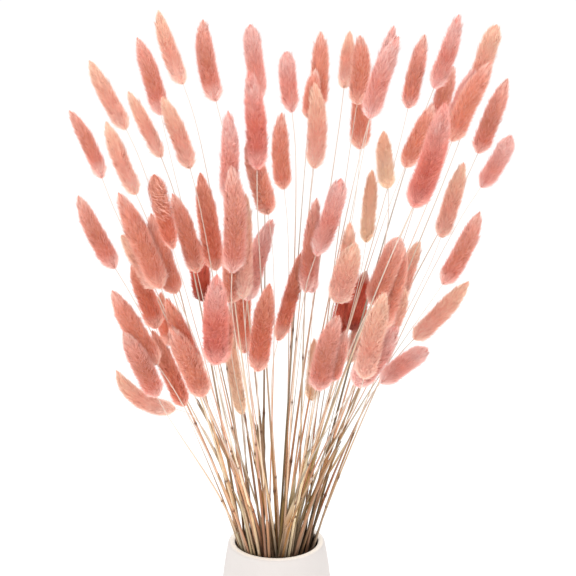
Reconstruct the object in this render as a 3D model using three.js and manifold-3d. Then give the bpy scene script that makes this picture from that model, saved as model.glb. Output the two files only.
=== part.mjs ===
// Dried bunny tail grass: a loose spray of dyed, furry seed heads on thin straw stems, standing in a
// matte ceramic vase. Millimetres, +Z up, with the origin at the middle of the vase's foot.
import * as THREE from "three";
import { mergeVertices } from "three/addons/utils/BufferGeometryUtils.js";
import Module from "manifold-3d";

const wasm = await Module();
wasm.setup();

// The vase: a thrown pot that widens below its soft, rounded lip and stands on a flat foot. Its wall
// follows one smooth curve, drawn outwards by two pulls at shares of its height.
const VASE_HEIGHT = 130;
const MOUTH_RADIUS = 28.2;
const LIP_RADIUS = 33;
const OUTER_ROUND = 2.4;
const INNER_ROUND = 0.9;
const BELLY_PULL = 41.5;
const FOOT_RADIUS = 35;
const FLOOR_THICK = 8;
const WALL_THICK = 4.4;
const LOW_PULL = 0.14;
const HIGH_PULL = 0.66;
const OUTSIDE_STEPS = 8;
const INSIDE_STEPS = 4;
const OUTER_TURNS = [30, 60, 90];
const INNER_TURNS = [90, 135];
const VASE_SIDES = 28;

// Where the spray is seen from: the eye is a metre away, looks down a little and keeps the heads in
// a square picture. A head's place is given in pixels of that picture and its depth in millimetres.
const PICTURE_MIDDLE = 288;
const PICTURE_FOCUS = 1538;
const EYE_DISTANCE = 1000;
const EYE_PITCH = (15 * Math.PI) / 180;
const SIGHT_X = 7.8;
const SIGHT_ABOVE_RIM = 177.4;

// A seed head: its widest place, how full its solid is beside its fur, and its tufts
const SOLID_SHARE = 0.94;
const BASE_ROUND = 0.13;
const TIP_TAPER = 0.45;
const BLUNT_BASE_ROUND = 0.22;
const BLUNT_TIP_TAPER = 0.22;
const ROUNDING = 0.7;
const HEAD_SIDES = 7;
const HEAD_RINGS = [0.03, 0.13, 0.3, 0.48, 0.66, 0.81, 0.93];
const TUFT_HEIGHT = 0.1;
const TUFT_DIP = 0.05;
const TUFT_LEAN = 0.3;
const BOW_SHARE = 0.09;
const GOLDEN = 0.6180339887;

// How the heads stand in depth: one layer's depth, and how far tips lean out of the middle
const LAYER_DEPTH = 21;
const TIP_LEAN = 0.16;
const PRESSED_IN = 2.6;
const LEAST_PRESS = 1.35;
const PRESS_STEP = 0.4;
const PRESS_FAR = 30;
const HEAD_CLEAR = 1.2;
const HEAD_ROUNDS = 160;

// Clearing the heads: balls along a head stand for it, and a few small ones for the stem below it
const BALL_PLACES = [0.07, 0.2, 0.35, 0.5, 0.65, 0.8, 0.94];
const BODY_BALLS = BALL_PLACES.length;
const NECK_PLACES = [5, 12, 20];
const NECK_RADIUS = 1.4;
const NECK_CLEAR = 0.4;

// The stems: radii of the cut end, of the leaf sheath round the lower part and of the bare top
const FOOT_STEM_RADIUS = 0.9;
const SHEATH_RADIUS = 1.15;
const BARE_RADIUS = 0.6;
const STEM_SIDES = 3;
const STEM_STATIONS = [0, 0.15, 0.3, 0.44, 0.58, 0.72, 0.86, 1];
const MOUTH_CLEAR = 0.7;
const MOUTH_REACH = MOUTH_RADIUS - SHEATH_RADIUS - MOUTH_CLEAR;
const MOUTH_PITCH = 2.5;
const MOUTH_ROUNDS = 60;
const MOUTH_SCATTER = 7;
const BUNCH_PLACE = [4, -22];
const BUNCH_PULL = 0.7;
const BUNCH_SLOPE = 0.1;
const FOOT_LEAN = 0.8;
const FOOT_REACH = 15.5;
const SPREAD_SOFTNESS = 0.3;
const STEM_CLEAR = 0.9;
const STEM_ROUNDS = 160;
const SETTLE_ROUNDS = 60;
const PUSH_SHARE = 0.6;
const EVEN_SHARE = 0.06;
const JOIN_GAP = 0.3;
const STEM_END_PULL = 0.22;
const STEM_END_PULL_MOST = 40;
const STEM_START_PULL = 0.35;

// How high above the mouth a sheath may end, the share of stems without one there, and the dried leaf
// blades on some stems
const SHEATH_MOST = 90;
const BARE_SHARE = 0.25;
const BLADE_EVERY = 9;
const BLADE_STATION = 1;
const BLADE_LONG = 36;
const BLADE_WIDE = 3.4;
const BLADE_THICK = 0.8;
const BLADE_LEAN = 0.14;
const BLADE_ROOT = 3;

// Inside the vase the stems cross and press together into one bundle: its corners by radius and height
const BUNDLE_OUTLINE = [
  [0, 0],
  [17, 0],
  [16, 40],
  [17, 76],
  [20, 96],
  [0, 96],
];
const BUNDLE_SIDES = 12;
const FOOT_SINK = 1.5;

const WELD = 1e-3;

// Each head as seen: tip, base and width in pixels, its dye, and its layer from front to back. A head
// with "behind" is pressed against the back of the head with that number and grows into its fur.
const HEADS = [
  { id: 1, tip: [89, 60], base: [126, 129], wide: 17, dye: "peach", layer: 0 },
  { id: 2, tip: [137, 37], base: [161, 115], wide: 19, dye: "rose", layer: 3 },
  { id: 3, tip: [158, 10], base: [183, 84], wide: 17, dye: "peach", layer: 1 },
  { id: 4, tip: [128, 91], base: [161, 157], wide: 14, dye: "peach", layer: -1 },
  { id: 5, tip: [69, 110], base: [102, 178], wide: 15, dye: "rose", layer: 2 },
  { id: 6, tip: [106, 121], base: [136, 194], wide: 17, dye: "peach", layer: -2 },
  { id: 7, tip: [162, 96], base: [190, 168], wide: 18, dye: "peach", layer: -1 },
  { id: 8, tip: [203, 19], base: [216, 101], wide: 20, dye: "rose", layer: 2 },
  { id: 9, tip: [250, 24], base: [260, 100], wide: 19, dye: "pink", layer: 4, blunt: true },
  { id: 10, tip: [249, 70], base: [257, 169], wide: 21, dye: "pink", layer: -4 },
  { id: 11, tip: [287, 51], base: [292, 112], wide: 18, dye: "pink", layer: 1, blunt: true },
  { id: 12, tip: [321, 31], base: [318, 108], wide: 18, dye: "salmon", behind: 14 },
  { id: 13, tip: [314, 82], base: [314, 168], wide: 19, dye: "peach", layer: -1 },
  { id: 14, tip: [316, 70], base: [309, 118], wide: 16, dye: "salmon", behind: 13 },
  { id: 15, tip: [228, 110], base: [228, 200], wide: 19, dye: "pink", behind: 39 },
  { id: 16, tip: [282, 112], base: [284, 189], wide: 18, dye: "salmon", layer: 2 },
  { id: 17, tip: [350, 31], base: [344, 88], wide: 14, dye: "peach", layer: 2 },
  { id: 18, tip: [360, 35], base: [357, 104], wide: 20, dye: "salmon", layer: 1 },
  { id: 19, tip: [366, 72], base: [360, 149], wide: 21, dye: "salmon", layer: 3 },
  { id: 20, tip: [394, 25], base: [372, 110], wide: 17, dye: "pink", behind: 21 },
  { id: 21, tip: [399, 36], base: [370, 118], wide: 21, dye: "pink", layer: -3 },
  { id: 22, tip: [425, 34], base: [408, 108], wide: 17, dye: "rose", layer: 1 },
  { id: 23, tip: [459, 14], base: [434, 88], wide: 18, dye: "pink", layer: 0 },
  { id: 24, tip: [454, 66], base: [437, 125], wide: 18, dye: "rose", layer: 2 },
  { id: 25, tip: [433, 104], base: [405, 167], wide: 18, dye: "salmon", layer: -2 },
  { id: 26, tip: [445, 102], base: [413, 207], wide: 25, dye: "pink", layer: -4 },
  { id: 27, tip: [497, 24], base: [473, 100], wide: 19, dye: "peach", behind: 28, blunt: true },
  { id: 28, tip: [474, 70], base: [451, 126], wide: 18, dye: "pink", behind: 29 },
  { id: 29, tip: [492, 62], base: [452, 141], wide: 22, dye: "salmon", layer: -2 },
  { id: 30, tip: [508, 78], base: [478, 153], wide: 19, dye: "rose", layer: 1 },
  { id: 31, tip: [511, 136], base: [481, 187], wide: 17, dye: "pink", layer: -1, blunt: true },
  { id: 32, tip: [78, 195], base: [115, 268], wide: 19, dye: "rose", layer: 0 },
  { id: 33, tip: [118, 192], base: [161, 288], wide: 24, dye: "salmon", layer: -3 },
  { id: 34, tip: [121, 235], base: [155, 288], wide: 20, dye: "peach", behind: 33 },
  { id: 35, tip: [154, 174], base: [173, 248], wide: 18, dye: "brick", layer: -4, blunt: true },
  { id: 36, tip: [172, 193], base: [197, 272], wide: 19, dye: "salmon", layer: -2 },
  { id: 37, tip: [151, 213], base: [176, 293], wide: 22, dye: "salmon", behind: 33 },
  { id: 38, tip: [200, 172], base: [216, 270], wide: 21, dye: "brick", layer: 0 },
  { id: 39, tip: [231, 165], base: [232, 272], wide: 24, dye: "rose", layer: -4 },
  { id: 40, tip: [246, 193], base: [243, 298], wide: 20, dye: "peach", behind: 39 },
  { id: 41, tip: [247, 142], base: [268, 214], wide: 20, dye: "salmon", behind: 10 },
  { id: 42, tip: [273, 219], base: [247, 300], wide: 20, dye: "pink", layer: -1 },
  { id: 43, tip: [317, 197], base: [306, 292], wide: 16, dye: "rose", behind: 44 },
  { id: 44, tip: [341, 178], base: [316, 255], wide: 20, dye: "pink", layer: -2, blunt: true },
  { id: 45, tip: [384, 131], base: [388, 188], wide: 17, dye: "tan", layer: 0 },
  { id: 46, tip: [372, 169], base: [366, 242], wide: 14, dye: "tan", layer: 1 },
  { id: 47, tip: [350, 222], base: [338, 288], wide: 15, dye: "peach", behind: 48 },
  { id: 48, tip: [356, 243], base: [338, 302], wide: 26, dye: "peach", layer: -3 },
  { id: 49, tip: [399, 237], base: [371, 304], wide: 22, dye: "salmon", layer: -2, blunt: true },
  { id: 50, tip: [420, 241], base: [400, 300], wide: 16, dye: "peach", layer: 0 },
  { id: 51, tip: [464, 162], base: [441, 237], wide: 18, dye: "peach", layer: 0 },
  { id: 52, tip: [480, 211], base: [443, 284], wide: 20, dye: "rose", layer: -1 },
  { id: 54, tip: [194, 236], base: [203, 301], wide: 20, dye: "red", layer: 2 },
  { id: 56, tip: [217, 274], base: [216, 364], wide: 27, dye: "pink", layer: -5 },
  { id: 57, tip: [226, 305], base: [221, 362], wide: 17, dye: "salmon", behind: 56 },
  { id: 58, tip: [247, 270], base: [245, 353], wide: 15, dye: "brick", layer: 2 },
  { id: 59, tip: [236, 268], base: [237, 345], wide: 14, dye: "rose", behind: 58 },
  { id: 60, tip: [231, 235], base: [230, 302], wide: 20, dye: "salmon", behind: 39 },
  { id: 61, tip: [270, 283], base: [258, 371], wide: 22, dye: "brick", layer: -3 },
  { id: 62, tip: [301, 252], base: [278, 340], wide: 15, dye: "brick", layer: -1 },
  { id: 63, tip: [318, 225], base: [312, 292], wide: 14, dye: "pink", behind: 43 },
  { id: 64, tip: [366, 271], base: [352, 330], wide: 20, dye: "red", layer: 1 },
  { id: 65, tip: [346, 285], base: [337, 334], wide: 18, dye: "red", behind: 64 },
  { id: 67, tip: [404, 246], base: [380, 330], wide: 22, dye: "salmon", behind: 49 },
  { id: 68, tip: [405, 288], base: [378, 345], wide: 20, dye: "peach", behind: 67 },
  { id: 69, tip: [385, 292], base: [364, 378], wide: 23, dye: "peach", layer: -5 },
  { id: 70, tip: [469, 281], base: [414, 339], wide: 19, dye: "peach", layer: 0 },
  { id: 71, tip: [428, 349], base: [381, 383], wide: 19, dye: "pink", layer: -1, blunt: true },
  { id: 72, tip: [397, 326], base: [356, 385], wide: 26, dye: "pink", behind: 69 },
  { id: 73, tip: [131, 265], base: [156, 328], wide: 20, dye: "brick", layer: -1 },
  { id: 74, tip: [112, 290], base: [157, 364], wide: 22, dye: "salmon", behind: 75 },
  { id: 75, tip: [123, 332], base: [157, 396], wide: 22, dye: "rose", layer: -3 },
  { id: 76, tip: [161, 292], base: [170, 345], wide: 14, dye: "brick", layer: 2 },
  { id: 77, tip: [166, 298], base: [199, 372], wide: 18, dye: "brick", behind: 78 },
  { id: 78, tip: [170, 328], base: [203, 396], wide: 24, dye: "salmon", layer: -4 },
  { id: 79, tip: [116, 370], base: [175, 409], wide: 17, dye: "peach", layer: -1, bow: 0.16 },
  { id: 80, tip: [152, 330], base: [184, 406], wide: 18, dye: "brick", layer: -1.5 },
  { id: 82, tip: [229, 330], base: [242, 414], wide: 13, dye: "tan", layer: 0 },
  { id: 83, tip: [314, 338], base: [311, 400], wide: 13, dye: "tan", layer: 1 },
  { id: 84, tip: [339, 315], base: [319, 390], wide: 24, dye: "rose", layer: -3 },
  { id: 85, tip: [346, 330], base: [333, 380], wide: 14, dye: "rose", behind: 84 },
  { id: 86, tip: [364, 305], base: [349, 362], wide: 16, dye: "peach", behind: 64 },
];

const matte = (color, roughness) => new THREE.MeshStandardMaterial({ color, roughness, metalness: 0 });
const DYES = {
  peach: matte("#efa78f", 0.9),
  rose: matte("#c9776b", 0.9),
  pink: matte("#e58a82", 0.9),
  red: matte("#a84a3a", 0.9),
  salmon: matte("#cf7760", 0.9),
  brick: matte("#bd6450", 0.9),
  tan: matte("#e3ab88", 0.9),
};
const STRAW = matte("#b9986a", 0.8);
const BISQUE = matte("#efeae7", 0.65);

// Lines of sight
const FORWARD = new THREE.Vector3(0, Math.cos(EYE_PITCH), -Math.sin(EYE_PITCH));
const UPWARD = new THREE.Vector3(0, Math.sin(EYE_PITCH), Math.cos(EYE_PITCH));
const SIDEWAYS = new THREE.Vector3(1, 0, 0);
const SIGHT = new THREE.Vector3(SIGHT_X, 0, VASE_HEIGHT + SIGHT_ABOVE_RIM);
const EYE = SIGHT.clone().addScaledVector(FORWARD, -EYE_DISTANCE);

// The point seen at a pixel, at a depth: the eye's ray through the pixel, cut where y is that depth.
function seen([across, down], depth) {
  const ray = FORWARD.clone();
  ray.addScaledVector(SIDEWAYS, (across - PICTURE_MIDDLE) / PICTURE_FOCUS);
  ray.addScaledVector(UPWARD, (PICTURE_MIDDLE - down) / PICTURE_FOCUS);
  return EYE.clone().addScaledVector(ray, (depth - EYE.y) / ray.y);
}

// Moves a point along its own line of sight until its depth has grown by a step.
function slide(point, step) {
  const share = 1 + step / (point.y - EYE.y);
  point.sub(EYE).multiplyScalar(share).add(EYE);
}

// The share of a head's full radius at t from base to tip: a round base, an even body, a long taper.
function fullness(t, blunt) {
  const low = Math.min(1, t / (blunt ? BLUNT_BASE_ROUND : BASE_ROUND));
  const high = Math.min(1, (1 - t) / (blunt ? BLUNT_TIP_TAPER : TIP_TAPER));
  return (Math.sin((Math.PI / 2) * low) * Math.sin((Math.PI / 2) * high)) ** ROUNDING;
}

// A head's centre line is a quadratic curve from base to tip that bows to one side.
function lineAt(head, t) {
  const a = (1 - t) * (1 - t);
  const b = 2 * t * (1 - t);
  const c = t * t;
  return new THREE.Vector3()
    .addScaledVector(head.root, a)
    .addScaledVector(head.waist, b)
    .addScaledVector(head.end, c);
}

function directionAt(head, t) {
  const first = head.waist.clone().sub(head.root);
  const last = head.end.clone().sub(head.waist);
  return first.lerp(last, t).normalize();
}

// Puts a head at a depth: its base and tip stay on their lines of sight, and its width as seen.
function setDepth(head, depth) {
  head.depth = depth;
  head.root = seen(head.base, depth);
  head.end = seen(head.tip, depth * (1 + TIP_LEAN));
  const away = head.root.clone().sub(EYE).dot(FORWARD);
  head.radius = ((SOLID_SHARE * head.wide) / 2) * (away / PICTURE_FOCUS);
  const axis = head.end.clone().sub(head.root);
  const side = new THREE.Vector3().crossVectors(axis, FORWARD);
  const sway = ((head.id * GOLDEN) % 1) - 0.5;
  const bow = head.bow === undefined ? sway * BOW_SHARE : head.bow;
  head.waist = head.root.clone().addScaledVector(axis, 0.5).addScaledVector(side, bow * 2);
}

// The balls that stand for a head and the top of its stem.
function balls(head) {
  const list = BALL_PLACES.map((t) => ({
    at: lineAt(head, t),
    radius: head.radius * fullness(t, head.blunt) * (1 + TUFT_HEIGHT),
  }));
  const down = directionAt(head, 0);
  for (const below of NECK_PLACES) {
    list.push({ at: head.root.clone().addScaledVector(down, -below), radius: NECK_RADIUS });
  }
  return list;
}

// The deepest overlap of two lists of balls, and which of the two lies behind there.
function overlap(first, second) {
  let deepest = -Infinity;
  let behind = 1;
  for (const a of first) {
    for (const b of second) {
      const depth = a.radius + b.radius - a.at.distanceTo(b.at);
      if (depth > deepest) {
        deepest = depth;
        behind = a.at.y < b.at.y ? 1 : -1;
      }
    }
  }
  return { deepest, behind };
}

// Brings a head forward from far behind the one it is pressed against, until its fur reaches in, or
// until it would meet the front head's stem.
function pressBehind(head, front) {
  head.offset = PRESS_FAR;
  while (head.offset > -PRESS_FAR) {
    setDepth(head, front.depth + head.offset);
    head.balls = balls(head);
    const fur = overlap(head.balls.slice(0, BODY_BALLS), front.balls.slice(0, BODY_BALLS));
    const neck = overlap(head.balls.slice(0, BODY_BALLS), front.balls.slice(BODY_BALLS));
    if (fur.deepest >= PRESSED_IN || (fur.deepest > LEAST_PRESS && neck.deepest > -NECK_CLEAR)) {
      return;
    }
    head.offset -= PRESS_STEP;
  }
}

const byId = new Map(HEADS.map((head) => [head.id, head]));

// A clump is a head with all the heads pressed against it; it moves in depth as one.
const clumps = [];
for (const head of HEADS) {
  if (head.behind === undefined) clumps.push({ name: head.id, heads: [head] });
}
for (const clump of clumps) {
  for (const front of clump.heads) {
    for (const head of HEADS) {
      if (head.behind === front.id) clump.heads.push(head);
    }
  }
}

function placeClump(clump) {
  for (const head of clump.heads) {
    if (head.behind === undefined) setDepth(head, clump.depth);
    else setDepth(head, byId.get(head.behind).depth + head.offset);
    head.balls = balls(head);
  }
}

for (const clump of clumps) {
  clump.depth = clump.heads[0].layer * LAYER_DEPTH;
  setDepth(clump.heads[0], clump.depth);
  clump.heads[0].balls = balls(clump.heads[0]);
  for (const head of clump.heads.slice(1)) pressBehind(head, byId.get(head.behind));
}

// Clumps that meet are pushed apart along the lines of sight, so each stays where it is seen.
function clearHeads() {
  for (let round = 0; round < HEAD_ROUNDS; round += 1) {
    const push = clumps.map(() => 0);
    for (let i = 0; i < clumps.length; i += 1) {
      for (let j = i + 1; j < clumps.length; j += 1) {
        for (const a of clumps[i].heads) {
          for (const b of clumps[j].heads) {
            const { deepest, behind } = overlap(a.balls, b.balls);
            const need = Math.max(0, deepest + HEAD_CLEAR) / 2;
            push[i] -= behind * need;
            push[j] += behind * need;
          }
        }
      }
    }
    if (push.every((value) => value === 0)) return;
    clumps.forEach((clump, i) => {
      clump.depth += push[i];
      placeClump(clump);
    });
  }
}
clearHeads();

// Where each stem passes the mouth: spread by the slope to its head and scattered, with those of the
// heads at the front right gathered into a bunch, and then set apart.
function mouthPlaces() {
  const places = HEADS.map((head) => {
    const rise = head.root.z - VASE_HEIGHT;
    const slope = new THREE.Vector2(head.root.x / rise, head.root.y / rise);
    const turn = head.id * GOLDEN * Math.PI * 2;
    const spread = MOUTH_REACH / Math.hypot(slope.length(), SPREAD_SOFTNESS);
    const scatter = new THREE.Vector2(Math.cos(turn), Math.sin(turn)).multiplyScalar(MOUTH_SCATTER);
    const bunched = slope.x > 0 && slope.y < -BUNCH_SLOPE;
    const place = slope.multiplyScalar(spread).add(scatter);
    if (bunched) place.lerp(new THREE.Vector2(...BUNCH_PLACE), BUNCH_PULL);
    return place;
  });
  for (let round = 0; round < MOUTH_ROUNDS; round += 1) {
    for (let i = 0; i < places.length; i += 1) {
      for (let j = i + 1; j < places.length; j += 1) {
        const apart = places[j].clone().sub(places[i]);
        const short = MOUTH_PITCH - apart.length();
        if (short > 0) {
          apart.setLength(short / 2);
          places[i].sub(apart);
          places[j].add(apart);
        }
      }
      if (places[i].length() > MOUTH_REACH) places[i].setLength(MOUTH_REACH);
    }
  }
  return places;
}

// A stem leans on the mouth's side: it rises from the far side of the vase's floor through the mouth
// towards its head, and curves into the head's line.
function makeStem(head, place) {
  const footHeight = FLOOR_THICK + JOIN_GAP + FOOT_SINK;
  const mouth = new THREE.Vector3(place.x, place.y, VASE_HEIGHT);
  const down = directionAt(head, 0);
  const top = head.root.clone().addScaledVector(down, -JOIN_GAP);
  const fall = (VASE_HEIGHT - footHeight) / (top.z - VASE_HEIGHT);
  const lean = new THREE.Vector2(top.x - place.x, top.y - place.y).multiplyScalar(fall * FOOT_LEAN);
  const low = place.clone().sub(lean).clampLength(0, FOOT_REACH);
  const foot = new THREE.Vector3(low.x, low.y, footHeight);
  const span = top.distanceTo(mouth);
  const start = mouth.clone().sub(foot).setLength(span * STEM_START_PULL).add(mouth);
  const pull = Math.min(span * STEM_END_PULL, STEM_END_PULL_MOST);
  const finish = top.clone().addScaledVector(down, -pull);
  const curve = new THREE.CubicBezierCurve3(mouth, start, finish, top);
  const points = STEM_STATIONS.map((t) => curve.getPoint(t));
  return { head, foot, points };
}

// The nearest place to a ball on a stem's stretch, as a share of the stretch.
function nearestShare(from, to, ball) {
  const run = to.clone().sub(from);
  const share = ball.at.clone().sub(from).dot(run) / run.lengthSq();
  return Math.min(1, Math.max(0, share));
}

// Stems that would cross a head are bent in depth until they pass it clear, and then evened out.
function clearStems(stems) {
  const last = STEM_STATIONS.length - 1;
  for (let round = 0; round < STEM_ROUNDS; round += 1) {
    for (const stem of stems) {
      const push = stem.points.map(() => 0);
      for (const head of HEADS) {
        if (head === stem.head) continue;
        for (const ball of head.balls.slice(0, BODY_BALLS)) {
          for (let k = 0; k < last; k += 1) {
            const from = stem.points[k];
            const to = stem.points[k + 1];
            const share = nearestShare(from, to, ball);
            const near = from.clone().lerp(to, share);
            const short = ball.radius + BARE_RADIUS + STEM_CLEAR - near.distanceTo(ball.at);
            if (short <= 0) continue;
            const way = near.y < ball.at.y ? -1 : 1;
            push[k] += way * short * (1 - share);
            push[k + 1] += way * short * share;
          }
        }
      }
      push[0] = 0;
      push[last] = 0;
      for (let k = 1; k < last; k += 1) {
        slide(stem.points[k], push[k] * PUSH_SHARE);
      }
      if (round < STEM_ROUNDS - SETTLE_ROUNDS) {
        const old = stem.points.map((point) => point.y);
        for (let k = 1; k < last; k += 1) {
          slide(stem.points[k], ((old[k - 1] + old[k + 1]) / 2 - old[k]) * EVEN_SHARE);
        }
      }
    }
  }
}
const places = mouthPlaces();
const stems = HEADS.map((head, i) => makeStem(head, places[i]));
clearStems(stems);

// A closed round surface along a line: a lathe whose stations are laid on the line's points, each
// ring square to the line. The shape of a ring's points may be raised and moved along by a rule.
function sweep(points, radii, sides, raise) {
  const count = points.length;
  const profile = points.map((point, k) => new THREE.Vector2(radii[k], k));
  const lathe = new THREE.LatheGeometry(profile, sides);
  const place = lathe.getAttribute("position");
  for (let n = 0; n < place.count; n += 1) {
    const k = n % count;
    const side = Math.floor(n / count) % sides;
    const ahead = points[Math.min(k + 1, count - 1)];
    const back = points[Math.max(k - 1, 0)];
    const along = ahead.clone().sub(back).normalize();
    const across = new THREE.Vector3(0, 1, 0);
    across.addScaledVector(along, -across.dot(along)).normalize();
    const third = new THREE.Vector3().crossVectors(along, across);
    const turn = (2 * Math.PI * side) / sides;
    const { grow, lean } = raise(k, side);
    const radius = radii[k] * grow;
    const at = points[k].clone().addScaledVector(along, lean);
    at.addScaledVector(across, radius * Math.cos(turn));
    at.addScaledVector(third, radius * Math.sin(turn));
    place.setXYZ(n, at.x, at.y, at.z);
  }
  return lathe;
}

// A closed geometry as a solid: shared corners are welded and empty triangles at the poles dropped.
function solidOf(geometry) {
  geometry.deleteAttribute("normal");
  geometry.deleteAttribute("uv");
  const merged = mergeVertices(geometry, WELD);
  const corners = [];
  for (let n = 0; n < merged.index.count; n += 3) {
    const [a, b, c] = [0, 1, 2].map((k) => merged.index.getX(n + k));
    if (a !== b && b !== c && c !== a) corners.push(a, b, c);
  }
  const vertProperties = new Float32Array(merged.getAttribute("position").array);
  const triVerts = new Uint32Array(corners);
  return new wasm.Manifold(new wasm.Mesh({ numProp: 3, vertProperties, triVerts }));
}

function addMesh(group, name, solid, material) {
  const { vertProperties, triVerts } = solid.getMesh();
  const geometry = new THREE.BufferGeometry();
  geometry.setAttribute("position", new THREE.BufferAttribute(vertProperties, 3));
  geometry.setIndex(new THREE.BufferAttribute(triVerts, 1));
  geometry.computeVertexNormals();
  const mesh = new THREE.Mesh(geometry, material);
  mesh.name = name;
  group.add(mesh);
}

// A seed head: a bowed spindle whose skin is raised in tufts that lean towards the tip.
function headSolid(head) {
  const stations = [0, ...HEAD_RINGS, 1];
  const points = stations.map((t) => lineAt(head, t));
  const radii = stations.map((t) => head.radius * fullness(t, head.blunt));
  radii[0] = 0;
  radii[stations.length - 1] = 0;
  const spacing = head.root.distanceTo(head.end) / HEAD_RINGS.length;
  const last = stations.length - 1;
  const tuft = (k, side) => {
    if (k === 0 || k === last) return { grow: 1, lean: 0 };
    const raised = (k * HEAD_SIDES + side) % 2 === 0;
    if (raised) return { grow: 1 + TUFT_HEIGHT, lean: spacing * TUFT_LEAN };
    return { grow: 1 - TUFT_DIP, lean: 0 };
  };
  return solidOf(sweep(points, radii, HEAD_SIDES, tuft));
}

// The station at which a stem's leaf sheath ends: the mouth itself for the bare stems.
function sheathEnd(stem) {
  const share = ((stem.head.id * GOLDEN) % 1) - BARE_SHARE;
  const height = VASE_HEIGHT + (SHEATH_MOST * Math.max(0, share)) / (1 - BARE_SHARE);
  return stem.points.filter((point) => point.z <= height).length - 1;
}

// A stem: its cut foot, the sheathed part up to where its leaf sheath ends, and the bare top.
function stemSolid(stem) {
  const top = stem.points[stem.points.length - 1];
  const bottomCap = stem.foot.clone().setZ(stem.foot.z - WELD * 2);
  const topCap = top.clone().addScaledVector(directionAt(stem.head, 0), WELD * 2);
  const bare = stem.points.map((point, k) => (k <= sheathEnd(stem) ? SHEATH_RADIUS : BARE_RADIUS));
  const points = [bottomCap, stem.foot, ...stem.points, topCap];
  const radii = [0, FOOT_STEM_RADIUS, ...bare, 0];
  return solidOf(sweep(points, radii, STEM_SIDES, () => ({ grow: 1, lean: 0 })));
}

// A dried leaf blade: a flat, pointed strip that starts in its stem at the first station above the
// mouth, leans out of the spray and thins to its tip.
function bladeSolid(stem) {
  const outline = new THREE.Shape();
  outline.moveTo(-BLADE_WIDE / 4, 0);
  outline.lineTo(BLADE_WIDE / 4, 0);
  outline.lineTo(BLADE_WIDE / 2, BLADE_LONG / 3);
  outline.lineTo(0, BLADE_LONG);
  outline.lineTo(-BLADE_WIDE / 2, BLADE_LONG / 3);
  outline.closePath();
  const blade = new THREE.ExtrudeGeometry(outline, { depth: BLADE_THICK, bevelEnabled: false });
  blade.translate(0, 0, -BLADE_THICK / 2);
  const from = stem.points[BLADE_STATION];
  const along = stem.points[BLADE_STATION + 1].clone().sub(from).normalize();
  const out = new THREE.Vector3(from.x, from.y, 0).normalize();
  const rise = along.clone().addScaledVector(out, BLADE_LEAN).normalize();
  const across = new THREE.Vector3().crossVectors(rise, out).normalize();
  const flat = new THREE.Vector3().crossVectors(across, rise);
  const root = from.clone().addScaledVector(along, -BLADE_ROOT);
  blade.applyMatrix4(new THREE.Matrix4().makeBasis(across, rise, flat).setPosition(root));
  return solidOf(blade);
}

const spray = new THREE.Group();
for (const clump of clumps) {
  const parts = clump.heads.map(headSolid);
  const joined = parts.reduce((sum, part) => sum.add(part));
  const mark = String(clump.name).padStart(2, "0");
  const name = parts.length === 1 ? `seed_head_${mark}` : `seed_heads_${mark}`;
  addMesh(spray, name, joined, DYES[clump.heads[0].dye]);
}
// All stems, grown out of their bundle; small hollows that the crossing stems seal are filled
const wrap = BUNDLE_OUTLINE.map(([radius, height]) => new THREE.Vector2(radius, height));
const bundle = new THREE.LatheGeometry(wrap, BUNDLE_SIDES);
bundle.rotateX(Math.PI / 2);
bundle.translate(0, 0, FLOOR_THICK + JOIN_GAP);
let straw = solidOf(bundle);
for (const stem of stems) {
  straw = straw.add(stemSolid(stem));
  if (stem.head.id % BLADE_EVERY === 0) straw = straw.add(bladeSolid(stem));
}
straw = straw.decompose().reduce((most, piece) => (piece.volume() > most.volume() ? piece : most));
addMesh(spray, "stems", straw, STRAW);

// A rounded edge under the rim: points on a circle about a radius, at turns in degrees.
function edge(middle, round, turns) {
  return turns.map((degrees) => {
    const turn = THREE.MathUtils.degToRad(degrees);
    const low = VASE_HEIGHT - round;
    return new THREE.Vector2(middle + round * Math.cos(turn), low + round * Math.sin(turn));
  });
}

// The vase's outline from foot to floor: heel, belly, shoulder, lip with two rounded edges, inner wall
const outside = new THREE.CubicBezierCurve(
  new THREE.Vector2(FOOT_RADIUS, 0),
  new THREE.Vector2(BELLY_PULL, VASE_HEIGHT * LOW_PULL),
  new THREE.Vector2(BELLY_PULL, VASE_HEIGHT * HIGH_PULL),
  new THREE.Vector2(LIP_RADIUS, VASE_HEIGHT - OUTER_ROUND),
).getPoints(OUTSIDE_STEPS);
const inside = new THREE.CubicBezierCurve(
  new THREE.Vector2(MOUTH_RADIUS, VASE_HEIGHT - INNER_ROUND),
  new THREE.Vector2(BELLY_PULL - WALL_THICK, VASE_HEIGHT * HIGH_PULL),
  new THREE.Vector2(BELLY_PULL - WALL_THICK, VASE_HEIGHT * LOW_PULL),
  new THREE.Vector2(FOOT_RADIUS - WALL_THICK, FLOOR_THICK),
).getPoints(INSIDE_STEPS);
const outerEdge = edge(LIP_RADIUS - OUTER_ROUND, OUTER_ROUND, OUTER_TURNS);
const innerEdge = edge(MOUTH_RADIUS + INNER_ROUND, INNER_ROUND, INNER_TURNS);
const lip = [...outerEdge, ...innerEdge];
const outline = [new THREE.Vector2(0, 0), ...outside, ...lip, ...inside, new THREE.Vector2(0, FLOOR_THICK)];
const pot = new THREE.LatheGeometry(outline, VASE_SIDES);
pot.rotateX(Math.PI / 2);
addMesh(spray, "vase", solidOf(pot), BISQUE);

export default spray;
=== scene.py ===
# Dried bunny tail grass: furry, dyed seed heads on thin straw stems, loose in a matte ceramic vase.
# Lengths are in millimetres with +Z up and the vase's foot at zero, and become metres in each mesh.
import math

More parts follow.
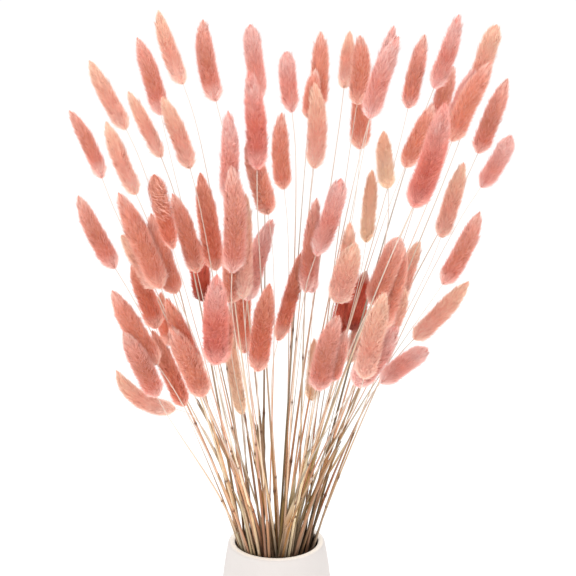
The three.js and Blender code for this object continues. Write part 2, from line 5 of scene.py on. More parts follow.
import bpy
import numpy as np
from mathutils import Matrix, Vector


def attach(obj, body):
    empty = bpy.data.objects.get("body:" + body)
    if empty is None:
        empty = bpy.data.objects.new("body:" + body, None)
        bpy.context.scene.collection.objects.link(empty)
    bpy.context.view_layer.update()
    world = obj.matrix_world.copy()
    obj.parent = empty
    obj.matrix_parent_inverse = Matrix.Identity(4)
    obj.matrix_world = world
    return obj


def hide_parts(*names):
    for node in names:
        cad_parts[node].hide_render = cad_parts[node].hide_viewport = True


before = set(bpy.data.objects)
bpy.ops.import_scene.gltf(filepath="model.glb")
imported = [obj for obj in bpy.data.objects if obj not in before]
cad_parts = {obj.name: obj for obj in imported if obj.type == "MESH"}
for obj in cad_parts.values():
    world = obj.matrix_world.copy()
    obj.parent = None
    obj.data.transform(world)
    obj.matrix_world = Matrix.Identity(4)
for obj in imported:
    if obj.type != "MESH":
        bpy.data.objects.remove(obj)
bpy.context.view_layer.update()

MM = 0.001
GOLDEN = 0.6180339887
chance = np.random.default_rng(20)

# The vase: its lip, belly, foot, floor and wall, and the shares of its height that pull its curves
VASE_HEIGHT = 130.0
MOUTH_RADIUS = 28.2
LIP_RADIUS = 33.0
OUTER_ROUND = 2.4
INNER_ROUND = 0.9
BELLY_PULL = 41.5
FOOT_RADIUS = 35.0
FLOOR_THICK = 8.0
WALL_THICK = 4.4
LOW_PULL = 0.14
HIGH_PULL = 0.66

# Where the spray is seen from: a head's place is given in pixels of this square picture
PICTURE_SIDE = 576
PICTURE_MIDDLE = PICTURE_SIDE / 2
PICTURE_FOCUS = 1538
EYE_DISTANCE = 1000.0
EYE_PITCH = math.radians(15)
SIGHT = np.array([7.8, 0.0, VASE_HEIGHT + 177.4])
FORWARD = np.array([0.0, math.cos(EYE_PITCH), -math.sin(EYE_PITCH)])
UPWARD = np.array([0.0, math.sin(EYE_PITCH), math.cos(EYE_PITCH)])
SIDEWAYS = np.array([1.0, 0.0, 0.0])
DEPTHWARD = np.array([0.0, 1.0, 0.0])
EYE = SIGHT - FORWARD * EYE_DISTANCE

# A seed head's form, and how heads stand in depth and press together
SOLID_SHARE = 0.94
BASE_ROUND = 0.13
TIP_TAPER = 0.45
BLUNT_BASE_ROUND = 0.22
BLUNT_TIP_TAPER = 0.22
ROUNDING = 0.7
TUFT_HEIGHT = 0.1
BOW_SHARE = 0.09
LAYER_DEPTH = 21.0
TIP_LEAN = 0.16
PRESSED_IN = 2.6
LEAST_PRESS = 1.35
PRESS_STEP = 0.4
PRESS_FAR = 30.0
BALL_PLACES = np.array([0.07, 0.2, 0.35, 0.5, 0.65, 0.8, 0.94])
BODY_BALLS = len(BALL_PLACES)
NECK_PLACES = np.array([5.0, 12.0, 20.0])
NECK_RADIUS = 1.4
NECK_CLEAR = 0.4

# The stems' courses
SHEATH_RADIUS = 1.15
BARE_RADIUS = 0.6
STEM_STATIONS = np.array([0, 0.15, 0.3, 0.44, 0.58, 0.72, 0.86, 1])
MOUTH_REACH = MOUTH_RADIUS - SHEATH_RADIUS - 0.7
MOUTH_PITCH = 2.5
MOUTH_ROUNDS = 60
MOUTH_SCATTER = 7.0
BUNCH_PLACE = np.array([4.0, -22.0])
BUNCH_PULL = 0.7
BUNCH_SLOPE = 0.1
FOOT_HEIGHT = 9.8
FOOT_LEAN = 0.8
FOOT_REACH = 15.5
SPREAD_SOFTNESS = 0.3
STEM_CLEAR = 0.9
STEM_ROUNDS = 160
SETTLE_ROUNDS = 60
PUSH_SHARE = 0.6
EVEN_SHARE = 0.06
JOIN_GAP = 0.3
STEM_END_PULL = 0.22
STEM_END_PULL_MOST = 40.0
STEM_START_PULL = 0.35
SHEATH_MOST = 90.0
BARE_SHARE = 0.25
BLADE_EVERY = 9
BLADE_STATION = 1


def unit(vectors):
    """Each vector divided by its own length."""
    length = np.linalg.norm(vectors, axis=-1, keepdims=True)
    return vectors / np.maximum(length, 1e-9)


def square_to(along):
    """Two directions square to each of these and to each other, the first of them nearest to +Y."""
    across = unit(DEPTHWARD - along * along[..., 1:2])
    return across, np.cross(along, across)


def all_round(sides):
    """Turns spread evenly all round."""
    return np.linspace(0, 2 * np.pi, sides, endpoint=False)


def seen(pixel, depth):
    """The point seen at a pixel, at a depth: the eye's ray through it, cut where y is that depth."""
    across, down = pixel
    ray = FORWARD + SIDEWAYS * (across - PICTURE_MIDDLE) / PICTURE_FOCUS
    ray = ray + UPWARD * (PICTURE_MIDDLE - down) / PICTURE_FOCUS
    return EYE + ray * (depth - EYE[1]) / ray[1]


def slide(points, steps):
    """Points moved along their own lines of sight until their depths have grown by the steps."""
    share = 1 + steps / (points[..., 1] - EYE[1])
    return EYE + (points - EYE) * share[..., None]


class Head:
    """A seed head as seen: tip, base and width in pixels, its dye, and its layer from front to back.
    A head with behind is pressed against the back of the head with that mark."""

    def __init__(self, mark, tip, base, wide, dye, layer=0, behind=None, blunt=False, bow=None):
        self.mark = mark
        self.tip = tip
        self.base = base
        self.wide = wide
        self.dye = dye
        self.layer = layer
        self.behind = behind
        self.blunt = blunt
        self.bow = ((mark * GOLDEN) % 1 - 0.5) * BOW_SHARE if bow is None else bow

    def put(self, depth):
        """Base and tip go on their lines of sight at that depth, and the centre line bows to one side."""
        self.depth = depth
        self.root = seen(self.base, depth)
        self.end = seen(self.tip, depth * (1 + TIP_LEAN))
        away = (self.root - EYE) @ FORWARD
        self.radius = self.wide / 2 * away / PICTURE_FOCUS
        axis = self.end - self.root
        self.long = np.linalg.norm(axis)
        self.waist = self.root + axis / 2 + np.cross(axis, FORWARD) * self.bow * 2

    def line(self, t):
        """The centre line: a quadratic curve from the root at 0, by the waist, to the end at 1."""
        t = np.asarray(t, float)[..., None]
        return (1 - t) ** 2 * self.root + 2 * t * (1 - t) * self.waist + t**2 * self.end

    def axes(self, t):
        """Along the centre line, and the two directions square to it."""
        t = np.asarray(t, float)[..., None]
        along = unit((self.waist - self.root) * (1 - t) + (self.end - self.waist) * t)
        return along, *square_to(along)

    def fullness(self, t):
        """The share of the full radius at t from base to tip: a round base, an even body and a long
        taper, as a product of two quarter sines raised to a power."""
        t = np.clip(t, 0, 1)
        low = np.minimum(1, t / (BLUNT_BASE_ROUND if self.blunt else BASE_ROUND))
        high = np.minimum(1, (1 - t) / (BLUNT_TIP_TAPER if self.blunt else TIP_TAPER))
        return (np.sin(np.pi / 2 * low) * np.sin(np.pi / 2 * high)) ** ROUNDING

    def balls(self):
        """Balls along the head that stand for it, then small ones for the top of its stem."""
        body = self.line(BALL_PLACES)
        round_body = self.radius * SOLID_SHARE * (1 + TUFT_HEIGHT) * self.fullness(BALL_PLACES)
        neck = self.root - self.axes(0)[0] * NECK_PLACES[:, None]
        round_neck = np.full(len(NECK_PLACES), NECK_RADIUS)
        return np.concatenate([body, neck]), np.concatenate([round_body, round_neck])


# The heads, roughly from the top left to the bottom right
HEADS = [
    Head(1, (89, 60), (126, 129), 17, "peach", layer=0),
    Head(2, (137, 37), (161, 115), 19, "rose", layer=3),
    Head(3, (158, 10), (183, 84), 17, "peach", layer=1),
    Head(4, (128, 91), (161, 157), 14, "peach", layer=-1),
    Head(5, (69, 110), (102, 178), 15, "rose", layer=2),
    Head(6, (106, 121), (136, 194), 17, "peach", layer=-2),
    Head(7, (162, 96), (190, 168), 18, "peach", layer=-1),
    Head(8, (203, 19), (216, 101), 20, "rose", layer=2),
    Head(9, (250, 24), (260, 100), 19, "pink", layer=4, blunt=True),
    Head(10, (249, 70), (257, 169), 21, "blush", layer=-4),
    Head(11, (287, 51), (292, 112), 18, "pink", layer=1, blunt=True),
    Head(12, (321, 31), (318, 108), 18, "salmon", behind=14),
    Head(13, (314, 82), (314, 168), 19, "peach", layer=-1),
    Head(14, (316, 70), (309, 118), 16, "salmon", behind=13),
    Head(15, (228, 110), (228, 200), 19, "pink", behind=39),
    Head(16, (282, 112), (284, 189), 18, "salmon", layer=2),
    Head(17, (350, 31), (344, 88), 14, "peach", layer=2),
    Head(18, (360, 35), (357, 104), 20, "salmon", layer=1),
    Head(19, (366, 72), (360, 149), 21, "salmon", layer=3),
    Head(20, (394, 25), (372, 110), 17, "pink", behind=21),
    Head(21, (399, 36), (370, 118), 21, "pink", layer=-3),
    Head(22, (425, 34), (408, 108), 17, "rose", layer=1),
    Head(23, (459, 14), (434, 88), 18, "pink", layer=0),
    Head(24, (454, 66), (437, 125), 18, "rose", layer=2),
    Head(25, (433, 104), (405, 167), 18, "salmon", layer=-2),
    Head(26, (445, 102), (413, 207), 25, "blush", layer=-4),
    Head(27, (497, 24), (473, 100), 19, "peach", behind=28, blunt=True),
    Head(28, (474, 70), (451, 126), 18, "pink", behind=29),
    Head(29, (492, 62), (452, 141), 22, "salmon", layer=-2),
    Head(30, (508, 78), (478, 153), 19, "rose", layer=1),
    Head(31, (511, 136), (481, 187), 17, "pink", layer=-1, blunt=True),
    Head(32, (78, 195), (115, 268), 19, "rose", layer=0),
    Head(33, (118, 192), (161, 288), 24, "salmon", layer=-3),
    Head(34, (121, 235), (155, 288), 20, "peach", behind=33),
    Head(35, (154, 174), (173, 248), 18, "brick", layer=-4, blunt=True),
    Head(36, (172, 193), (197, 272), 19, "salmon", layer=-2),
    Head(37, (151, 213), (176, 293), 22, "salmon", behind=33),
    Head(38, (200, 172), (216, 270), 21, "brick", layer=0),
    Head(39, (231, 165), (232, 272), 24, "rose", layer=-4),
    Head(40, (246, 193), (243, 298), 20, "peach", behind=39),
    Head(41, (247, 142), (268, 214), 20, "salmon", behind=10),
    Head(42, (273, 219), (247, 300), 20, "pink", layer=-1),
    Head(43, (317, 197), (306, 292), 16, "rose", behind=44),
    Head(44, (341, 178), (316, 255), 20, "pink", layer=-2, blunt=True),
    Head(45, (384, 131), (388, 188), 17, "tan", layer=0),
    Head(46, (372, 169), (366, 242), 14, "tan", layer=1),
    Head(47, (350, 222), (338, 288), 15, "peach", behind=48),
    Head(48, (356, 243), (338, 302), 26, "peach", layer=-3),
    Head(49, (399, 237), (371, 304), 22, "salmon", layer=-2, blunt=True),
    Head(50, (420, 241), (400, 300), 16, "peach", layer=0),
    Head(51, (464, 162), (441, 237), 18, "peach", layer=0),
    Head(52, (480, 211), (443, 284), 20, "rose", layer=-1),
    Head(54, (194, 236), (203, 301), 20, "red", layer=2),
    Head(56, (217, 274), (216, 364), 27, "blush", layer=-5),
    Head(57, (226, 305), (221, 362), 17, "salmon", behind=56),
    Head(58, (247, 270), (245, 353), 15, "brick", layer=2),
    Head(59, (236, 268), (237, 345), 14, "rose", behind=58),
    Head(60, (231, 235), (230, 302), 20, "salmon", behind=39),
    Head(61, (270, 283), (258, 371), 22, "brick", layer=-3),
    Head(62, (301, 252), (278, 340), 15, "brick", layer=-1),
    Head(63, (318, 225), (312, 292), 14, "pink", behind=43),
    Head(64, (366, 271), (352, 330), 20, "red", layer=1),
    Head(65, (346, 285), (337, 334), 18, "red", behind=64),
    Head(67, (404, 246), (380, 330), 22, "salmon", behind=49),
    Head(68, (405, 288), (378, 345), 20, "peach", behind=67),
    Head(69, (385, 292), (364, 378), 23, "peach", layer=-5),
    Head(70, (469, 281), (414, 339), 19, "peach", layer=0),
    Head(71, (428, 349), (381, 383), 19, "pink", layer=-1, blunt=True),
    Head(72, (397, 326), (356, 385), 26, "pink", behind=69),
    Head(73, (131, 265), (156, 328), 20, "brick", layer=-1),
    Head(74, (112, 290), (157, 364), 22, "salmon", behind=75),
    Head(75, (123, 332), (157, 396), 22, "rose", layer=-3),
    Head(76, (161, 292), (170, 345), 14, "brick", layer=2),
    Head(77, (166, 298), (199, 372), 18, "brick", behind=78),
    Head(78, (170, 328), (203, 396), 24, "salmon", layer=-4),
    Head(79, (116, 370), (175, 409), 17, "peach", layer=-1, bow=0.16),
    Head(80, (152, 330), (184, 406), 18, "brick", layer=-1.5),
    Head(82, (229, 330), (242, 414), 13, "tan", layer=0),
    Head(83, (314, 338), (311, 400), 13, "tan", layer=1),
    Head(84, (339, 315), (319, 390), 24, "rose", layer=-3),
    Head(85, (346, 330), (333, 380), 14, "rose", behind=84),
    Head(86, (364, 305), (349, 362), 16, "peach", behind=64),
]
BY_MARK = {head.mark: head for head in HEADS}


def deepest(first, second):
    """How far two lists of balls reach into each other at most."""
    apart = np.linalg.norm(first[0][:, None] - second[0][None], axis=-1)
    return (first[1][:, None] + second[1][None] - apart).max()


def press_behind(head, front):
    """Brings a head forward from far behind, until its fur reaches in or it would meet a stem."""
    centres, radii = front.balls()
    fur = centres[:BODY_BALLS], radii[:BODY_BALLS]
    neck = centres[BODY_BALLS:], radii[BODY_BALLS:]
    offset = PRESS_FAR
    while offset > -PRESS_FAR:
        head.put(front.depth + offset)
        places, sizes = head.balls()
        body = places[:BODY_BALLS], sizes[:BODY_BALLS]
        pressed = deepest(body, fur)
        if pressed >= PRESSED_IN:
            return
        if pressed > LEAST_PRESS and deepest(body, neck) > -NECK_CLEAR:
            return
        offset -= PRESS_STEP


def gather_clumps():
    """Each head with a layer starts a clump, and the heads behind its heads join it in turn."""
    clumps = []
    for first in HEADS:
        if first.behind is not None:
            continue
        first.put(first.layer * LAYER_DEPTH)
        clump = [first]
        for front in clump:
            for head in HEADS:
                if head.behind == front.mark:
                    clump.append(head)
        for head in clump[1:]:
            press_behind(head, BY_MARK[head.behind])
        clumps.append(clump)
    return clumps


def mouth_places():
    """Where each stem passes the mouth: spread by the slope to its head and scattered, with those of
    the heads at the front right gathered into a bunch, and then set apart."""
    places = []
    for head in HEADS:
        slope = head.root[:2] / (head.root[2] - VASE_HEIGHT)
        turn = head.mark * GOLDEN * 2 * math.pi
        spread = MOUTH_REACH / math.hypot(math.hypot(slope[0], slope[1]), SPREAD_SOFTNESS)
        scatter = np.array([math.cos(turn), math.sin(turn)]) * MOUTH_SCATTER
        place = slope * spread + scatter
        if slope[0] > 0 and slope[1] < -BUNCH_SLOPE:
            place += (BUNCH_PLACE - place) * BUNCH_PULL
        places.append(list(place))
    for _ in range(MOUTH_ROUNDS):
        for i, first in enumerate(places):
            for second in places[i + 1:]:
                dx = second[0] - first[0]
                dy = second[1] - first[1]
                gap = math.hypot(dx, dy)
                if gap < MOUTH_PITCH:
                    push = (MOUTH_PITCH - gap) / 2 / gap
                    first[0] -= dx * push
                    first[1] -= dy * push
                    second[0] += dx * push
                    second[1] += dy * push
            far = math.hypot(first[0], first[1])
            if far > MOUTH_REACH:
                first[0] *= MOUTH_REACH / far
                first[1] *= MOUTH_REACH / far
    return places


def stem_course(head, place):
    """A stem's foot, on the far side of the floor from where it leans on the mouth, and its stations
    above the mouth: a cubic curve from the mouth into the line of its head."""
    mouth = np.array([place[0], place[1], VASE_HEIGHT])
    down = -head.axes(0)[0]
    top = head.root + down * JOIN_GAP
    fall = (VASE_HEIGHT - FOOT_HEIGHT) / (top[2] - VASE_HEIGHT)
    low = mouth[:2] - (top - mouth)[:2] * fall * FOOT_LEAN
    low *= min(1, FOOT_REACH / math.hypot(low[0], low[1]))
    foot = np.array([low[0], low[1], FOOT_HEIGHT])
    span = np.linalg.norm(top - mouth)
    start = mouth + unit(mouth - foot) * span * STEM_START_PULL
    finish = top + down * min(span * STEM_END_PULL, STEM_END_PULL_MOST)
    t = STEM_STATIONS[:, None]
    early = (1 - t) ** 3 * mouth + 3 * t * (1 - t) ** 2 * start
    late = 3 * t**2 * (1 - t) * finish + t**3 * top
    return foot, early + late


def clear_stems(courses):
    """Stretches that would cross another head are pushed along the lines of sight until they pass it,
    in front where they are nearer than it, and then each course is evened out."""
    balls = [head.balls() for head in HEADS]
    centres = np.concatenate([places[:BODY_BALLS] for places, _ in balls])
    radii = np.concatenate([sizes[:BODY_BALLS] for _, sizes in balls])
    owner = np.repeat(np.arange(len(HEADS)), BODY_BALLS)
    others = (owner[None] != np.arange(len(HEADS))[:, None])[:, None]
    for round_number in range(STEM_ROUNDS):
        here = courses[:, :-1, None]
        run = courses[:, 1:, None] - here
        share = ((centres - here) * run).sum(-1) / (run**2).sum(-1)
        share = np.clip(share, 0, 1)
        near = here + run * share[..., None]
        short = radii + BARE_RADIUS + STEM_CLEAR - np.linalg.norm(near - centres, axis=-1)
        push = np.where((short > 0) & others, short, 0)
        push = np.where(near[..., 1] < centres[:, 1], -push, push)
        steps = np.zeros(courses.shape[:2])
        steps[:, :-1] += (push * (1 - share)).sum(-1)
        steps[:, 1:] += (push * share).sum(-1)
        steps[:, [0, -1]] = 0
        courses = slide(courses, steps * PUSH_SHARE)
        if round_number < STEM_ROUNDS - SETTLE_ROUNDS:
            depth = courses[..., 1]
            even = np.zeros_like(depth)
            even[:, 1:-1] = (depth[:, :-2] + depth[:, 2:]) / 2 - depth[:, 1:-1]
            courses = slide(courses, even * EVEN_SHARE)
    return courses


clumps = gather_clumps()
feet_and_courses = [stem_course(head, place) for head, place in zip(HEADS, mouth_places())]
stem_feet = np.array([foot for foot, _ in feet_and_courses])
stem_courses = clear_stems(np.array([course for _, course in feet_and_courses]))

# The fur as a whole: its girth as a share of the head's radius, how its dye is drawn out along the
# head, its core, the slope of its surface, and its brushed-out tip
FUR_GIRTH = 0.9
FADE_RANGE = (0.8, 1.2)
CORE_SHARE = 0.72
CORE_BASE_SHARE = 0.95
CORE_BASE_LONG = 0.12
CORE_SIDES = 12
CORE_RINGS = 18
CORE_ENDS = (0.008, 0.025)
CORE_SPAN = (0.055, 0.99)
MIDDLE_TONE = 0.5
AREA_STEPS = 200
SLOPE_STEP = 0.01
SLOPE_MOST = 1.2
BRUSH_SHARE = 0.12
FULL_BRUSH_SHARE = 0.34
SHAGGY_HEADS = (26, 28, 31, 35, 41, 42, 49, 60, 67, 71)

# Tufts: how they stand on the head, how their hairs spread and gather, and how a hair leans and twists
TUFTS_PER_MM2 = 0.08
TUFT_SPREAD = 0.45
TUFT_ROOTS = 0.9
TUFT_STAND = 2.7
TUFT_LIFT = 0.06
OWN_TONE = 0.65
GATHER = 0.4
SWIRL = 0.12
TILT = 0.3
FLAT_TWIST = 0.35
EDGE_TWIST = 0.45
HAIR_ROOTS = (0.004, 0.97)
LEAST_GIRTH = 0.3
TIP_SHORTER = 0.35
PAST_TIP = (-0.02, 0.06)
END_TURN = 0.05
IN_CORE = 0.95

# Tufted hairs and stray awns: how many to a square millimetre, shortest and longest, narrowest and widest,
# the shares of the girth that their ends reach, and how pale root and tip are painted: a dark root is
# painted shade, a pale end partly the hair's own and partly painted glow of light
HAIRS = (2.3, (7.225, 9.775), (0.21, 0.36), (0.74, 0.98), (0, 0.6))
AWNS = (0.06, (7.65, 10.35), (0.14, 0.24), (0.98, 1.35), (0, 1))
SHAGGY_AWNS = (0.132, (13.77, 18.63), (0.189, 0.324), (0.98, 1.63), (0, 0.3))

# The short down under the tufts
DOWN_PER_MM2 = 1.0
DOWN_LONG = (3.15, 5.4)
DOWN_WIDE = (0.28, 0.48)
DOWN_ROOTS = 0.94
DOWN_TURN = 0.1
DOWN_CORE = 0.97
DOWN_LEVEL = (0.74, 0.94)
DOWN_PALE = (0, 0.5)

# The spikes, fine hairs on edge that stand out of the coat
SPIKES_PER_MM2 = 2.2
SHAGGY_SPIKES_PER_MM2 = 4.84
BRISTLY_SPIKES_PER_MM2 = 1.32
SPIKE_LONG = (1.56, 3.38)
SPIKE_WIDE = (0.18, 0.36)
SPIKE_ROOTS = 0.97
SPIKE_TURN = 0.12
SPIKE_ROOT_LEVEL = 0.85
SPIKE_LEVEL = 0.94
SPIKE_OUT = (0.3, 3.0)
SPIKE_RARITY = 1.6
SPIKE_TIP_SHORTER = 0.4
SPIKE_TONE = 0.7
# The spikes are painted pale, partly their own colour and partly painted glow of light
SPIKE_PALE = (0.45, 1)

# The fringe round a head's base
FRINGE_HAIRS = 850
FRINGE_RANGE = 0.12
FRINGE_CROWDING = 1.5
FRINGE_RISE = (-0.012, 0.03)
FRINGE_TURN = 0.15
FRINGE_CORE = 0.9
FRINGE_OUT = (0.6, 2.0)
FRINGE_WIDE = (0.252, 0.468)
FRINGE_TONE = 0.8
# The fringe is painted pale, a painted light halo round the base
FRINGE_PALE = (0.9, 1)

# The stiff awns that cross over one ragged head
BRISTLY_HEAD = 35
BRISTLES = 150
BRISTLE_RANGE = (0.42, 0.85)
BRISTLE_LONG = (1.6, 8.0)
BRISTLE_WIDE = (0.3, 0.5)
BRISTLE_TURN = (-1.5, -0.1)
BRISTLE_ROOT_OUT = 0.8
BRISTLE_OUT = (1.2, 3.6)
BRISTLE_TONE = 0.9
BRISTLE_PALE = (0.8, 1)

# The bare stem: the steps of its fine line, its radii from the cut foot to the head, and its knot
LOW_STEPS = 4
SPAN_STEPS = 4
CULM_SHARES = np.array([-0.5, 0.0, 0.3, 0.6, 0.8, 1.0])
CULM_RADII = np.array([0.8, 0.7, 0.52, 0.34, 0.24, 0.21])
CULM_STOUT = (0.85, 1.55)
CULM_SIDES = 6
KNOT_RANGE = (0.12, 0.5)
KNOT_STEPS = np.array([-0.012, -0.004, 0, 0.004, 0.012])
KNOT_SHARE = 0.005
KNOT_SWELL = 0.4
KNOT_SCAR = 0.9

# The leaf sheath's thin wall, and how its torn upper edge flares, browns and turns in to the stem
SHEATH_SIDES = 10
SHEATH_RINGS = 14
SHEATH_LOW = -0.12
SHEATH_STOUT = (0.68, 1.12)
SHEATH_TAPER = 0.22
SHEATH_FLARE = 0.1
FLARE_POWER = 12
SHEATH_TEAR = 5.0
TEAR_POWER = 10
SHEATH_SCAR = 0.5
SCAR_POWER = 14
SHEATH_THICK = 0.22
SHEATH_TURNS_IN = np.array([0.004, 0.012])
SHEATH_CLOSES = 0.4

# The leaf blade: how its width and its fold run, how it leans, turns and droops, and the power by
# which its wall thins late towards the edges and its tip browns late
BLADE_ROWS = 22
BLADE_COLUMNS = 7
BLADE_LONG = 36.0
BLADE_WIDE = 3.4
BLADE_THICK = 0.3
BLADE_SHARES = (0, 0.12, 0.33, 0.7, 1)
BLADE_WIDTHS = (0.45, 0.75, 1, 0.6, 0.04)
BLADE_ROOT = 3.0
BLADE_AIM = 0.1
BLADE_LEAN = 0.14
BLADE_TURN = 0.7
BLADE_DROOP = 2.0
BLADE_FOLD = 0.28
FOLD_POWER = 1.5
LATE_POWER = 6
BLADE_SCAR = 0.6

# The straw's paints, how far apart the grains of the lots lie, and a fibre's length to its width
STRAW_PAINTS = ("rise", "lot", "rear", "scar", "grain_x", "grain_y", "grain_z")
LOT_APART = 90
GRAIN_LONG = 25.0

# The vase's fine outline, and how far its painted inner shade and its painted lighter lip fade
VASE_SIDES = 112
OUTSIDE_STEPS = 40
LIP_STEPS = 9
INSIDE_STEPS = 30
HEEL_STEPS = 5
HEEL_ROUND = 1.2
INNER_SHADE_FADE = 1.5
LIP_LIGHT_INSET = 0.7
LIP_LIGHT_FADE = 1.4


class Coat:
    """Triangles gathered for one piece: places, corners, the way each vertex faces, the values that are
    painted on the vertices, and which of the piece's materials each triangle wears."""

    def __init__(self, paints):
        self.paints = paints
        self.places = []
        self.corners = []
        self.facing = []
        self.values = {paint: [] for paint in paints}
        self.wears = []
        self.count = 0

    def add(self, places, corners, wears=0, facing=None, **values):
        self.places.append(places)
        self.corners.append(corners + self.count)
        if facing is not None:
            self.facing.append(facing)
        self.wears.append(np.full(len(corners), wears))
        for paint in self.paints:
            self.values[paint].append(np.broadcast_to(values[paint], len(places)))
        self.count += len(places)


def wrap_corners(rows, sides):
    """Triangles of a tube of rings closed by two poles: the first pole's vertex is 0, the rings follow,
    and the last vertex is the other pole. They face outwards where rings turn right-handed upwards."""
    ring = np.arange(sides)
    after = (ring + 1) % sides
    low = 1 + np.arange(rows - 1)[:, None] * sides
    a, b = low + ring, low + after
    c, d = b + sides, a + sides
    walls = np.stack([np.stack([a, b, c], -1), np.stack([a, c, d], -1)], 2).reshape(-1, 3)
    top = 1 + (rows - 1) * sides
    last = top + sides
    bottom_fan = np.stack([np.zeros_like(ring), 1 + after, 1 + ring], -1)
    top_fan = np.stack([np.full_like(ring, last), top + ring, top + after], -1)
    return np.concatenate([bottom_fan, walls, top_fan])


def rings_about(points, along, radii, turn):
    """Rings of vertices about the points of a line, at the radii and turns, and the way out of each."""
    across, third = square_to(along)
    out = across[:, None] * np.cos(turn)[:, None] + third[:, None] * np.sin(turn)[:, None]
    return points[:, None] + out * radii[:, None, None], out


def painted(values, sides):
    """A value for each ring, given to its vertices, with the first and last for the poles."""
    return np.concatenate([values[:1], np.repeat(values, sides), values[-1:]])


def core_radius(head, t):
    """The core's radius: a share of the fur's, nearly all of it at the base."""
    near_base = np.clip(1 - t / CORE_BASE_LONG, 0, 1)
    share = CORE_SHARE + (CORE_BASE_SHARE - CORE_SHARE) * near_base
    return head.girth * head.fullness(t) * share


def core(coat, head, dye):
    """The head's closed core: rings of the core's radius along the centre line, with two poles."""
    t = np.concatenate([CORE_ENDS, np.linspace(*CORE_SPAN, CORE_RINGS - len(CORE_ENDS))])
    along = head.axes(t)[0]
    rings, out = rings_about(head.line(t), along, core_radius(head, t), all_round(CORE_SIDES))
    share = np.concatenate([[0], np.repeat(t, CORE_SIDES), [1]])
    coat.add(
        np.concatenate([head.line([0.0]), rings.reshape(-1, 3), head.line([1.0])]),
        wrap_corners(CORE_RINGS, CORE_SIDES),
        dye,
        np.concatenate([-along[:1], out.reshape(-1, 3), along[-1:]]),
        along=share**head.fade,
        reach=0,
        tuft=MIDDLE_TONE,
        strand=MIDDLE_TONE,
    )


def skin_facing(head, t, out, along):
    """The way the head's surface faces: outwards, leaned back by the slope of its fullness."""
    rise = (head.fullness(t + SLOPE_STEP) - head.fullness(t - SLOPE_STEP)) / (2 * SLOPE_STEP)
    slope = np.clip(rise * head.girth / head.long, -SLOPE_MOST, SLOPE_MOST)
    return unit(out - along * slope[..., None])


def hairs(coat, head, dye, root, tip, wide, tuft, lean, pale):
    """Hairs as narrow triangles from root to tip. Root and tip each give shares of the head's length, turns
    about its centre line and radii. A hair lies across the surface, twisted a little about its own length,
    and faces as the tuft that it lies in. Those without a lean stand on edge and face as their own strip.
    The two pale values say how pale root and tip are painted: dark at the root as painted shade, pale at
    the end, partly the hair's own colour and partly painted glow of light."""
    count = len(wide)
    shares, turns, radii = (np.stack(pair, 1) for pair in zip(root, tip))
    along, across, third = head.axes(shares)
    out = across * np.cos(turns)[..., None] + third * np.sin(turns)[..., None]
    points = head.line(shares) + out * radii[..., None]
    run = unit(points[:, 1] - points[:, 0])
    level = unit(np.cross(run, out[:, 1]))
    upright = np.cross(level, run)
    if lean is None:
        twist = chance.normal(np.pi / 2, EDGE_TWIST, count)[:, None]
    else:
        twist = chance.normal(0, FLAT_TWIST, count)[:, None]
    flat = level * np.cos(twist) + upright * np.sin(twist)
    half = flat * (wide / 2)[:, None]
    if lean is None:
        facing = np.repeat(np.cross(flat, run)[:, None], 2, axis=1)
    else:
        surface = skin_facing(head, shares, out, along)
        facing = unit(surface + level[:, None] * lean[:, None, None])
    places = np.stack([points[:, 0] - half, points[:, 0] + half, points[:, 1]], 1)
    column = [0, 0, 1]
    coat.add(
        places.reshape(-1, 3),
        np.arange(count * 3).reshape(-1, 3),
        dye,
        facing[:, column].reshape(-1, 3),
        along=np.clip(shares[:, column].ravel(), 0, 1) ** head.fade,
        reach=np.tile(np.array(pale)[column], count),
        tuft=np.repeat(np.broadcast_to(tuft, count), 3),
        strand=np.repeat(chance.random(count), 3),
    )


